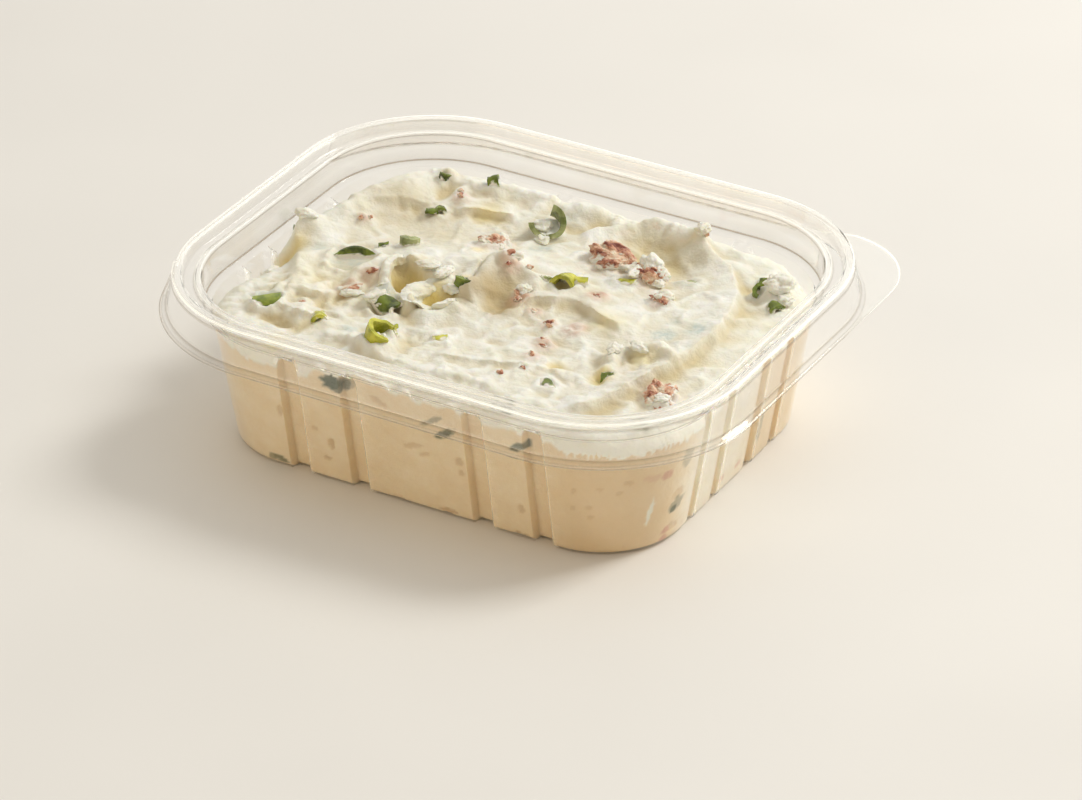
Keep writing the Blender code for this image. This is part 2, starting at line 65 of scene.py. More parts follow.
# Tub
SHEET = 0.5
RIM_HALF = (75.0, 61.5)
CORNER_STEPS = 26
LONGEST_CELL = 1.8
PROFILE_CELL = 6.0
FILLET_STEPS = 5
# The largest share of a straight part of the profile that one rounded corner takes up
MOST_CUT = 0.48
SIDE_SPARE = 0.1
QUADRANTS = ((1, 1), (-1, 1), (-1, -1), (1, -1))
SHOULDER_Z = 35.4
RIM_Z = 45.0
WALL_INSET = 9.5
# Where the grooves start and end, along X on the long sides and along Y on the short ones
LONG_GROOVES = ((-35.5, -29.5), (-18.2, -12.8), (15.7, 21.6), (32.2, 37.9))
SHORT_GROOVES = ((-22.2, -18.7), (-10.9, -6.8), (5.8, 10.7), (18.6, 22.3))
GROOVE_DEPTH = 2.1
GROOVE_SLOPE = 0.6
GROOVE_TOP = 35.0
ARCH_BASE = 31.0
ARCH_STEP = 0.5
SKIRT_CELL = 0.35
GROOVE_LINE = 0.3
GROOVE_LIGHT = 0.2
ARCH_LIGHT = 0.5
GROOVE_INSET = 9.2
SLOPE_STEPS = 5
NEAR_EDGE = 0.94
TAB_HALF = (78.4, 68.2)
TAB_CORNER = 21.0
TAB_Z = 35.4
# Painted highlight on the tab: on its upper face, on both corners of its edge and on its lower face
TAB_LIGHT = (0.03, 0.4, 0.4, 0.03)
# The torn side: its angles, and how far and over how many rows the rim goes on there
TORN_ARC = (164.0, 205.0)
TORN_GAP = 0.15
TORN_STEPS = 6.0
TORN_REACH = 0.54
TORN_DROP = 1.5
# Painted highlight on top of the rim along the torn side
BAR_LIGHT = 0.45
BAR_Z = 44.0
BAR_INSET = 1.2
# From the flange's edge to the lip's: out and up
LIP = np.array((-0.35, -0.2))

# Inner skin from the foot out and up to the flange: inset from the rim's edge, height, fillet
PROFILE = (
    (30.0, 0.5, 0.0),
    (15.3, 0.5, 1.7),
    (9.5, 35.0, 0.5),
    (7.5, 35.9, 0.6),
    (7.2, 43.3, 0.9),
    (5.3, 43.3, 0.7),
    (5.0, 41.9, 0.6),
    (2.8, 41.9, 0.7),
    (2.3, 45.0, 1.0),
    (0.0, 45.0, 1.0),
    (-1.8, 36.1, 0.4),
    (-3.2, 35.0, 0.0),
)
# Corner radius of the outline at each inset
RADIUS_AT = ((-3.2, 39.8), (7.4, 29.2), (9.6, 26.6), (14.6, 21.0), (30.0, 8.0))

# Painted dark lines and painted highlights on the sheet, where it looks dark or catches the light:
# inset, height, half width and strength
DARK_LINES = (
    (7.45, 35.9, 0.26, 0.95), (-0.4, 43.1, 0.28, 0.45), (-3.5, 34.8, 0.24, 0.5), (7.3, 42.7, 0.2, 0.75),
    (5.1, 42.1, 0.3, 0.25), (2.6, 42.8, 0.25, 0.3), (-1.9, 35.9, 0.26, 0.45), (-2.9, 35.1, 0.22, 0.25),
)
LIGHT_LINES = (
    (-0.1, 44.7, 0.36, 0.95), (-1.75, 36.4, 0.2, 0.12), (-3.2, 35.0, 0.24, 0.1), (5.4, 43.2, 0.3, 0.35),
    (6.7, 43.3, 0.3, 0.4), (2.1, 44.8, 0.3, 0.3), (1.2, 45.0, 0.9, 0.10), (6.2, 43.3, 0.9, 0.08),
)

# Cream
CREAM_Z = 34.6
CREAM_CELL = 0.5
CREAM_REACH = 0.2
TOP_SPARE = 1.5
# The ball whose rolling rounds the top
BALL = 1.3
SIDE_CELL = 0.6
SIDE_CORNER_STEPS = 64
# The side's lowest part, with its own steps, and a level that lies above all of the cream
FOOT_Z = 3.0
FOOT_STEPS = 5
ABOVE_RIM = 48.0
BLOCK_FLOOR = -3.0
# Petals of cream
PETAL_ROWS = 14
PETAL_STEPS = 12
PETAL_FOOT = 3.4
PETAL_RIM = 0.8
PETAL_SINK = 1.2
PETAL_GLOW = 0.35
PETAL_TEAR = 0.14
PETAL_ROUGH = 0.4
PETAL_WAVE = 1.9
PETAL_BULGE = 0.9
PETAL_SEED = 3

# Toppings: how quickly the coat of cream fades upwards, and how patchy it is
SMEAR_FADE = 1.2
SMEAR_PATCHES = 0.9
SCRAP_LUMPS = 7
SCRAP_SPREAD = 0.55
FIBRE_STRETCH = np.array((0.25, 1.0, 1.0))
STEM_FLARE = 0.15
STEM_TEAR = 0.12
# How far the dark leaf narrows towards its ends
LEAF_POINT = 0.72
# Cream pushed up round a piece: how its radius follows the piece's size, what is added to that,
# and its height
TOPPING_COLLAR = (0.45, 1.2, 1.1)
CHIP_COLLAR = (0.4, 0.5, 0.6)
BIT_COLLAR = (0.4, 0.4, 0.6)
COLLAR_WIDTH = 1.2
COLLAR_WAVES = ((0.7, 2.4, 3.3, 2),)

# Stage
FLOOR_HALF = 3.0
STUDIO_LIGHT = 0.88
STUDIO_STOPS = ((0.0, (0.34, 0.30, 0.25)), (0.35, (0.42, 0.385, 0.33)), (0.8, (1.0, 0.98, 0.93)))


# Small helpers

def along_across(x, y, turn):
    """Places in axes that are turned by an angle in degrees."""
    c, s = math.cos(math.radians(turn)), math.sin(math.radians(turn))
    return x * c + y * s, y * c - x * s


def hill(x, y, place, size, turn=0.0):
    """A soft hill of height 1 with the given half sizes, turned by an angle in degrees."""
    along, across = along_across(x - place[0], y - place[1], turn)
    return np.exp(-((along / size[0]) ** 2 + (across / size[1]) ** 2))


def ramp(values, start, length):
    """Rises from 0 at the start to 1 over the given length."""
    return np.clip((values - start) / length, 0.0, 1.0)


def rough(x, y, size, seed, octaves):
    """Fractal noise from about -1 to 1 over arrays of places."""
    flat = zip((x / size).ravel(), (y / size).ravel())
    values = [noise.fractal(Vector((a, b, seed)), *FRACTAL, octaves) for a, b in flat]
    return np.array(values).reshape(x.shape)


def rough_at(points, size, seed, octaves):
    """Fractal noise at points in space."""
    shift = Vector((seed, 0.0, 0.0))
    return np.array([noise.fractal(Vector(p) / size + shift, *FRACTAL, octaves) for p in points])


def layered(x, y, layers, base=0.0):
    """Layers of noise on top of a base."""
    for strength, size, seed, octaves in layers:
        base = base + strength * rough(x, y, size, seed, octaves)
    return base


def smooth_path(points, steps=6):
    """A smooth curve through the points, as a denser run of points."""
    p = [np.array(q, float) for q in points]
    p = [2 * p[0] - p[1]] + p + [2 * p[-1] - p[-2]]
    run = []
    for a, b, c, d in zip(p, p[1:], p[2:], p[3:]):
        for k in range(steps):
            t = k / steps
            square, cube = 2 * a - 5 * b + 4 * c - d, 3 * b - a - 3 * c + d
            run.append(0.5 * (2 * b + (c - a) * t + square * t**2 + cube * t**3))
    return np.array(run + [p[-2]])


def new_object(name, places, faces):
    mesh = bpy.data.meshes.new(name)
    mesh.from_pydata(np.asarray(places, float).tolist(), [], [list(face) for face in faces])
    mesh.validate()
    mesh.update()
    thing = bpy.data.objects.new(name, mesh)
    bpy.context.scene.collection.objects.link(thing)
    return thing


def add_piece(name, places, faces, material, slot, replaced=(), smooth=None):
    """A mesh in millimetres becomes a piece in metres that rides on the one body."""
    piece = new_object(name, np.asarray(places, float) * MM, faces)
    finish_piece(piece, material, replaced, smooth)
    return piece


def points_of(mesh):
    places = np.zeros(len(mesh.vertices) * 3)
    mesh.vertices.foreach_get("co", places)
    return places.reshape(-1, 3)


def finish_piece(piece, material, replaced=(), smooth=None):
    """Gives a piece its material, attaches it to the root body and hides the nodes that it stands for."""
    piece.data.materials.clear()
    piece.data.materials.append(material)
    piece.data.shade_smooth()
    if smooth is not None:
        piece.data.set_sharp_from_angle(angle=math.radians(smooth))
    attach(piece, "root")
    if replaced:
        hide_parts(*replaced)


def ring_faces(rows, count):
    """Faces between closed rows of points, each row with the same count, and over both ends."""
    faces = []
    for low in range(0, (rows - 1) * count, count):
        for k in range(count):
            n = (k + 1) % count
            faces.append((low + k, low + n, low + count + n, low + count + k))
    last = (rows - 1) * count
    return faces + [tuple(range(count))[::-1], tuple(range(last, last + count))]


# Materials

# Tones of the cream: its mottled top, then what the painted values lay over it, one by one
CREAM_STOPS = ((0.35, (0.84, 0.83, 0.72)), (0.65, (0.91, 0.915, 0.86)))
TOP_TONES = (
    # painted shade in hollows, on steep faces and on tan faces
    ("hollow_shade", (0.64, 0.53, 0.30)),
    # painted glow of light through thin cream, with a little painted shade
    ("glow_and_shade", (0.88, 0.71, 0.25)),
    # painted shade on faces turned away from the light
    ("deep", (0.50, 0.385, 0.20)),
    # cool grey patches, partly painted shade
    ("cool", (0.60, 0.67, 0.62)),
    # painted light: a bright band under the rim
    ("lit_band", (0.97, 0.93, 0.81)),
)
# The cream down the wall, mottled, in a warmer, darker tone that is painted shade and painted warm bounce
# light
WALL_SHADE_STOPS = ((0.32, (0.84, 0.655, 0.405)), (0.5, (0.88, 0.71, 0.465)), (0.68, (0.92, 0.77, 0.54)))
WALL_TONES = (
    # painted shade, warmer and darker round the near corner and lower down
    ("warm_shade", (0.73, 0.535, 0.30)),
    # painted shade in voids against the wall
    ("pit_shade", (0.66, 0.45, 0.22)),
    ("pink", (0.66, 0.36, 0.24)),
    ("green", (0.035, 0.060, 0.004)),
)
# The clear sheet, and its painted dark lines and painted highlights
SHEET_TINT = (0.995, 0.995, 0.99)
STRIP_TONES = (("dark", (0.17, 0.13, 0.085)), ("light", (0.80, 0.82, 0.82)))
# Bacon from dark meat to fat, and the coat of cream over the toppings
MEAT_STOPS = (
    (0.36, (0.20, 0.055, 0.035)),
    (0.45, (0.50, 0.215, 0.13)),
    (0.54, (0.72, 0.45, 0.30)),
    (0.64, (0.85, 0.70, 0.53)),
)
COAT_STOPS = ((0.25, (0.0, 0.0, 0.0)), (0.75, (1.0, 1.0, 1.0)))
COAT_TONE = (0.86, 0.83, 0.73)
# Spring onion: the dark and the bright green of each kind
ONION_TONES = {
    "dark": ((0.045, 0.064, 0.006), (0.20, 0.26, 0.03)),
    "mid": ((0.13, 0.19, 0.02), (0.34, 0.40, 0.06)),
    "bright": ((0.30, 0.31, 0.012), (0.66, 0.64, 0.08)),
    "grey": ((0.15, 0.18, 0.05), (0.44, 0.47, 0.22)),
}
FLOOR_STOPS = ((0.3, (0.80, 0.785, 0.755)), (0.7, (0.83, 0.815, 0.785)))


def feed(tree, socket, value):
    """Links a socket to another one, or sets it to a number, a vector or a colour."""
    if isinstance(value, bpy.types.NodeSocket):
        tree.links.new(value, socket)
    elif isinstance(value, tuple):
        socket.default_value = (*value, 1.0)[:len(socket.default_value)]
    else:
        socket.default_value = value


def feed_all(tree, node, values):
    """Feeds the inputs of a node by name, with spaces written as underscores."""
    for key, value in values.items():
        feed(tree, node.inputs[key.replace("_", " ")], value)


def new_material(name, **values):
    material = bpy.data.materials.new(name)
    material.use_nodes = True
    tree = material.node_tree
    shader = tree.nodes["Principled BSDF"]
    feed_all(tree, shader, values)
    return material, tree, shader


def add_node(tree, kind, **values):
    node = tree.nodes.new(kind)
    feed_all(tree, node, values)
    return node


def noise_node(tree, scale, detail, roughness=0.5, distortion=0.0, stretch=None):
    """Noise over the object's own coordinates, with the scale in cells per millimetre."""
    place = tree.nodes.new("ShaderNodeTexCoord").outputs["Object"]
    if stretch is not None:
        place = add_node(tree, "ShaderNodeMapping", Vector=place, Scale=stretch).outputs["Vector"]
    node = add_node(tree, "ShaderNodeTexNoise", Vector=place, Scale=scale / MM, Detail=detail)
    feed_all(tree, node, {"Roughness": roughness, "Distortion": distortion})
    return node.outputs["Fac"]


def ramp_node(tree, source, stops):
    """A colour ramp: stops are (position, colour) with linear colours."""
    node = add_node(tree, "ShaderNodeValToRGB", Fac=source)
    elements = node.color_ramp.elements
    while len(elements) < len(stops):
        elements.new(0.5)
    for element, (position, colour) in zip(elements, stops):
        element.position = position
        element.color = (*colour, 1.0)
    return node.outputs["Color"]


def mix_colours(tree, factor, first, second):
    """Mixes two colours; each is a socket or a tuple."""
    node = tree.nodes.new("ShaderNodeMix")
    node.data_type = "RGBA"
    feed(tree, node.inputs["Factor"], factor)
    feed(tree, node.inputs[6], first)
    feed(tree, node.inputs[7], second)
    return node.outputs[2]


def toned(tree, colour, tones):
    """The colour with each tone laid over it where the painted value of that name is high."""
    for name, tone in tones:
        colour = mix_colours(tree, attribute_node(tree, name), colour, tone)
    return colour


def math_node(tree, operation, first, second):
    """Works out one value from two; each is a socket or a number."""
    node = tree.nodes.new("ShaderNodeMath")
    node.operation = operation
    for socket, value in zip(node.inputs, (first, second)):
        feed(tree, socket, value)
    return node.outputs[0]


def mix_shaders(tree, factor, first, second):
    node = tree.nodes.new("ShaderNodeMixShader")
    for socket, value in zip(node.inputs, (factor, first, second)):
        feed(tree, socket, value)
    return node.outputs["Shader"]


def bump_into(tree, shader, height, distance):
    bump = add_node(tree, "ShaderNodeBump", Height=height, Strength=1.0, Distance=distance * MM)
    feed(tree, shader.inputs["Normal"], bump.outputs["Normal"])


def clear_plastic():
    """Thin clear sheet with a glossy coat, which lets light straight through."""
    material, tree, shader = new_material(
        "clear_plastic", Base_Color=SHEET_TINT, Roughness=0.0, IOR=1.035, Coat_Weight=1.0,
        Coat_Roughness=0.03, Coat_IOR=1.6, Transmission_Weight=1.0
    )
    bump_into(tree, shader, noise_node(tree, 0.09, detail=1.0), 0.05)
    path = tree.nodes.new("ShaderNodeLightPath")
    through = add_node(tree, "ShaderNodeBsdfTransparent", Color=SHEET_TINT)
    unseen = math_node(tree, "MAXIMUM", path.outputs["Is Shadow Ray"], path.outputs["Is Diffuse Ray"])
    seen = math_node(tree, "SUBTRACT", 1.0, unseen)
    surface = mix_shaders(tree, unseen, shader.outputs["BSDF"], through.outputs["BSDF"])
    # Painted dark lines and painted highlights: strips laid over the sheet, which cast no shadow
    for name, colour in STRIP_TONES:
        strip = tree.nodes.new("ShaderNodeAddShader")
        for socket, kind in zip(strip.inputs, ("ShaderNodeBsdfDiffuse", "ShaderNodeBsdfTranslucent")):
            feed(tree, socket, add_node(tree, kind, Color=colour).outputs["BSDF"])
        share = math_node(tree, "MULTIPLY", attribute_node(tree, name), seen)
        surface = mix_shaders(tree, share, surface, strip.outputs["Shader"])
    feed(tree, tree.nodes["Material Output"].inputs["Surface"], surface)
    return material


def attribute_node(tree, name):
    """The value painted on the mesh under that name."""
    node = tree.nodes.new("ShaderNodeAttribute")
    node.attribute_name = name
    return node.outputs["Fac"]


def cream_material():
    """Moist cream cheese with tinted inclusions; painted shade in hollows and down the wall, painted glow
    and a painted bright band.
    """
    material, tree, shader = new_material(
        "cream_cheese", Roughness=0.42, IOR=1.42, Coat_Weight=0.22, Coat_Roughness=0.28,
        Subsurface_Weight=0.3, Subsurface_Radius=(1.0, 0.72, 0.4), Subsurface_Scale=1.2 * MM
    )
    colour = ramp_node(tree, noise_node(tree, 0.12, detail=4.0), CREAM_STOPS)
    colour = toned(tree, colour, TOP_TONES)
    # Painted shade and warm bounce light: the cream down the wall in a warmer, darker tone
    wall = ramp_node(tree, noise_node(tree, 0.10, detail=5.0, roughness=0.65), WALL_SHADE_STOPS)
    colour = mix_colours(tree, attribute_node(tree, "side"), colour, wall)
    feed(tree, shader.inputs["Base Color"], toned(tree, colour, WALL_TONES))
    bump_into(tree, shader, noise_node(tree, 0.42, detail=6.0, roughness=0.62), 0.55)
    return material


def bacon_material():
    """Cooked bacon: pink and brown meat with pale fat, and cream smeared over it."""
    material, tree, shader = new_material(
        "cooked_bacon", Roughness=0.34, Subsurface_Weight=0.2, Subsurface_Radius=(1.0, 0.45, 0.3),
        Subsurface_Scale=0.9 * MM
    )
    fibres = noise_node(tree, 0.42, detail=5.0, roughness=0.6, distortion=0.6, stretch=(0.7, 1.0, 1.0))
    feed(tree, shader.inputs["Base Color"], smeared(tree, ramp_node(tree, fibres, MEAT_STOPS)))
    bump_into(tree, shader, fibres, 0.5)
    return material


def smeared(tree, colour):
    """The colour under a coat of cream, thick where the piece's smear value is high."""
    coat = ramp_node(tree, attribute_node(tree, "smear"), COAT_STOPS)
    return mix_colours(tree, coat, colour, COAT_TONE)


def onion_material(name, dark, bright):
    """Spring onion: fine ribs, a wet surface, and cream smeared over part of it."""
    material, tree, shader = new_material(
        name, Roughness=0.25, Subsurface_Weight=0.2, Subsurface_Radius=(0.6, 1.0, 0.2),
        Subsurface_Scale=0.8 * MM
    )
    tone = noise_node(tree, 0.3, detail=3.0, roughness=0.55)
    green = ramp_node(tree, tone, ((0.36, dark), (0.62, bright)))
    feed(tree, shader.inputs["Base Color"], smeared(tree, green))
    bump_into(tree, shader, noise_node(tree, 2.2, detail=2.0, stretch=(1.0, 1.0, 0.15)), 0.10)
    return material


def floor_material():
    material, tree, shader = new_material("pale_floor", Roughness=0.7)
    colour = ramp_node(tree, noise_node(tree, 0.01, detail=2.0), FLOOR_STOPS)
    feed(tree, shader.inputs["Base Color"], colour)
    return material


# The tub

def rounded_profile():
    """The profile with its corners rounded, as (inset, height) points."""
    corners = [np.array(corner[:2]) for corner in PROFILE]
    points = corners[:1]
    for before, here, after, (_, _, fillet) in zip(corners, corners[1:], corners[2:], PROFILE[1:]):
        back, ahead = before - here, after - here
        back_length, ahead_length = np.linalg.norm(back), np.linalg.norm(ahead)
        half = math.acos(np.clip(back @ ahead / back_length / ahead_length, -1.0, 1.0)) / 2.0
        cut = min(fillet / math.tan(half), MOST_CUT * back_length, MOST_CUT * ahead_length)
        start, end = here + back / back_length * cut, here + ahead / ahead_length * cut
        for step in range(FILLET_STEPS + 1):
            t = step / FILLET_STEPS
            points.append((1 - t) ** 2 * start + 2 * t * (1 - t) * here + t**2 * end)
    points.append(corners[-1])
    skirt = next(k for k, point in enumerate(points) if point[0] < 0.0)
    return split_long(points[:skirt], PROFILE_CELL) + split_long(points[skirt - 1:], SKIRT_CELL)[1:]


def arch_rows(points):
    """Adds rows to the wall where the grooves end in arches."""
    run = [points[0]]
    for a, b in zip(points, points[1:]):
        if b[1] - a[1] > ARCH_STEP and ARCH_BASE < b[1] < SHOULDER_Z:
            run += split_evenly(a, b, math.ceil((b[1] - a[1]) / ARCH_STEP))[:-1]
        run.append(b)
    return run


def split_evenly(a, b, pieces):
    """The points that part a line into equal pieces, with its end and without its start."""
    return [a + (b - a) * k / pieces for k in range(1, pieces + 1)]


def split_long(points, longest):
    """Adds points where two neighbours are far apart."""
    run = [points[0]]
    for a, b in zip(points, points[1:]):
        run += split_evenly(a, b, max(1, math.ceil(np.linalg.norm(b - a) / longest)))
    return run


def other_skin(points, thickness):
    """The points moved square to the profile, away from the inside of the tub."""
    moved = []
    for k, here in enumerate(points):
        step = points[min(k + 1, len(points) - 1)] - points[max(k - 1, 0)]
        step = step / np.linalg.norm(step)
        moved.append(here + thickness * np.array((-step[1], step[0])))
    return moved


def groove_gaps(stop, z, grooves):
    """For each groove: how far inside its edge a place is, past its middle and up its arch."""
    for start, end in grooves:
        half = (end - start) / 2.0
        past = stop - (start + end) / 2.0
        above = max(z - (GROOVE_TOP - half), 0.0)
        yield half - math.hypot(past, above), past, above


def groove_share(stop, z, grooves):
    """1 on the floor of a groove and 0 outside it. The sides slope and the top is an arch."""
    share = 0.0
    for inside, _, _ in groove_gaps(stop, z, grooves):
        t = min(max(inside / GROOVE_SLOPE, 0.0), 1.0)
        share = max(share, t * t * (3.0 - 2.0 * t))
    return share


def groove_edge(stop, z, grooves):
    """How strong the painted highlight on a groove's edge is: along its arch and down its far edge."""
    most = 0.0
    for inside, past, above in groove_gaps(stop, z, grooves):
        if above > 0.0 or past > 0.0:
            share = ARCH_LIGHT if above > 0.0 else 1.0
            most = max(most, share * math.exp(-((inside / GROOVE_LINE) ** 2)))
    return GROOVE_LIGHT * most


def side_stops(grooves, longest):
    """Places along a side: close together on a groove's sides, and wide apart between."""
    limit = side_limit(grooves)
    stops = {-limit, limit}
    for start, end in grooves:
        for k in range(SLOPE_STEPS + 1):
            stops |= {start + GROOVE_SLOPE * k / SLOPE_STEPS, end - GROOVE_SLOPE * k / SLOPE_STEPS}
        stops |= {start - GROOVE_LINE, end + GROOVE_LINE}
    return split_long(sorted({round(stop, 3) for stop in stops}), longest)


def side_limit(grooves):
    """How far from the middle of a side its grooves reach."""
    return max(abs(edge) for groove in grooves for edge in groove) + GROOVE_LINE


def grooves_of(quadrant):
    return LONG_GROOVES if quadrant % 2 == 0 else SHORT_GROOVES


def perimeter(corner_steps, longest):
    """Where the outline is sampled, counterclockwise: corners by angle and sides by place."""
    samples = []
    for quadrant in range(4):
        start = quadrant * 90.0
        turns = {start + 90.0 * k / corner_steps for k in range(corner_steps + 1)}
        for edge in TORN_ARC:
            if start < edge < start + 90.0:
                turns |= {edge - TORN_GAP, edge + TORN_GAP}
        samples += [("corner", quadrant, math.radians(turn)) for turn in sorted(turns)]
        stops = side_stops(grooves_of(quadrant), longest)
        samples += [("side", quadrant, stop) for stop in (reversed(stops) if quadrant < 2 else stops)]
    return samples


SAMPLES = perimeter(CORNER_STEPS, LONGEST_CELL)
SIDE_SAMPLES = perimeter(SIDE_CORNER_STEPS, SIDE_CELL)


def outline(inset, z, samples=SAMPLES):
    """The tub's section at one level, with the grooves that it has there."""
    corner = corner_radius(inset)
    places = []
    for kind, quadrant, value in samples:
        if kind == "corner":
            sign = QUADRANTS[quadrant]
            x = (RIM_HALF[0] - inset - corner) * sign[0] + corner * math.cos(value)
            y = (RIM_HALF[1] - inset - corner) * sign[1] + corner * math.sin(value)
            places.append((x, y))
            continue
        grooves = grooves_of(quadrant)
        depth = inset + GROOVE_DEPTH * groove_share(value, z, grooves)
        room = RIM_HALF[quadrant % 2] - inset - corner
        stop = value * min(1.0, (room - SIDE_SPARE) / side_limit(grooves))
        places.append((
            (stop, RIM_HALF[1] - depth),
            (-(RIM_HALF[0] - depth), stop),
            (stop, -(RIM_HALF[1] - depth)),
            (RIM_HALF[0] - depth, stop),
        )[quadrant])
    return np.array(places)


def corner_radius(inset):
    return float(np.interp(inset, *zip(*RADIUS_AT)))


def is_torn(sample):
    """Whether a sample lies on the side where the flange is torn off."""
    kind, quadrant, value = sample
    if kind == "side":
        return quadrant == 1
    return quadrant in (1, 2) and TORN_ARC[0] <= math.degrees(value) <= TORN_ARC[1]


def tub_skin(points, drop):
    """Rows of points of one skin, from the foot's ring to the flange's edge and the tab."""
    rows = []
    crest = max(range(len(points)), key=lambda k: (points[k][1], -points[k][0]))
    for k, (inset, z) in enumerate(points):
        flat = outline(inset, z if k < crest else RIM_Z)
        row = np.column_stack([flat, np.full(len(flat), z)])
        if k > crest:
            for j, sample in enumerate(SAMPLES):
                if is_torn(sample):
                    row[j] = torn_place(rows[crest][j], k - crest)
        rows.append(row)
    edge = edge_row(rows[-1], drop)
    return rows + [rows[-1] + (edge - rows[-1]) * NEAR_EDGE, edge]


def outward(place):
    """The level direction from the tub's middle to a place."""
    return np.array(Vector((place[0], place[1], 0.0)).normalized())


def torn_place(top, step):
    """On the torn side the sheet ends in a short lip just under the rim's top."""
    share = min(step / TORN_STEPS, 1.0)
    reach = TORN_REACH * math.sin(share * math.pi / 2.0)
    return top + reach * outward(top) - np.array((0.0, 0.0, TORN_DROP * share**2))


def edge_row(flange, drop):
    """The outer edge: a narrow lip, and the squared corner of the tab."""
    row = flange.copy()
    for j, (kind, quadrant, value) in enumerate(SAMPLES):
        if kind == "corner" and quadrant == 0:
            x = TAB_HALF[0] - TAB_CORNER + TAB_CORNER * math.cos(value)
            y = TAB_HALF[1] - TAB_CORNER + TAB_CORNER * math.sin(value)
            row[j] = (x, y, TAB_Z - drop)
        else:
            row[j] -= LIP[0] * outward(row[j])
            row[j][2] += LIP[1]
    return row


def make_tub(material):
    inner = arch_rows(rounded_profile())
    outer = other_skin(inner, SHEET)
    rows = tub_skin(inner, 0.0) + tub_skin(outer, SHEET)[::-1]
    faces = [face[::-1] for face in ring_faces(len(rows), len(SAMPLES))]
    piece = add_piece("tub_shell", np.concatenate(rows), faces, material, "clear_plastic", ("tub",), 40.0)
    profile = np.array(inner + [inner[-1] + LIP] * 2 + [outer[-1] + LIP] * 2 + outer[::-1])
    # Paints the sheet's dark lines and highlights
    paint(piece.data, "dark", line_shares(profile, DARK_LINES, False).ravel())
    paint(piece.data, "light", line_shares(profile, LIGHT_LINES, True).ravel())


def line_shares(profile, lines, bright):
    """How strong the painted lines are, by row of the profile and place round the tub."""
    strength = np.zeros(len(profile))
    for inset, z, half, value in lines:
        gap = np.hypot(profile[:, 0] - inset, profile[:, 1] - z)
        strength = np.maximum(strength, value * np.exp(-((gap / half) ** 2)))
    shares = np.repeat(strength[:, None], len(SAMPLES), axis=1)
    web = len(profile) // 2 - 2
    for j, sample in enumerate(SAMPLES):
        kind, quadrant, value = sample
        column = shares[:, j]
        if is_torn(sample):
            on_bar = bright & (profile[:, 1] > BAR_Z) & (quadrant == 1 or kind == "corner")
            column = np.where(profile[:, 0] < BAR_INSET, BAR_LIGHT * on_bar, column)
        if kind == "side" and bright:
            edges = [groove_edge(value, z, grooves_of(quadrant)) for z in profile[:, 1]]
            column = np.where(profile[:, 0] > GROOVE_INSET, np.maximum(column, edges), column)
        if kind == "corner" and quadrant == 0:
            column[web:web + 4] = TAB_LIGHT if bright else 0.0
        shares[:, j] = column
    return shares


# Relief of the cream

# Layers of noise: the strength, the size, the seed and the octaves
BEND_X = ((0.8, 8.0, 4.4, 2), (0.25, 2.4, 5.4, 2))
BEND_Y = ((0.8, 8.0, 8.8, 2), (0.25, 2.4, 9.8, 2))
SLOW_WAVES = ((0.35, 11.0, 0.3, 2),)
FLECK_WAVES = ((0.25, 2.6, 2.1, 2),)
EDGE_WAVES = ((1.2, 5.0, 2.2, 2), (0.5, 1.6, 6.2, 2))
# Creased lumps and flecks: the size, the seed, the sharpness and the level they are counted from
LUMPS = (9.5, 7.7, 4, 0.4)
LUMP_HEIGHT = 0.6
FLECKS = (3.6, 6.1, 3, 0.35)
FLECK_HEIGHT = 0.8
# The top rises by a millimetre towards the front: where that starts, and over which length
FRONT_RISE = (30.0, 20.0)
RIDGE_END = 0.2
RIDGE_WAVE = 7.0
# Marks of the knife: their length and width, their height and their first seed
MARK_SIZE = (9.0, 1.3)
MARK_HEIGHT = 0.09
MARK_SEED = 20
FOLD_SHARE = 0.75
FOLD_FALL = 0.14
FOLD_SEED = 40

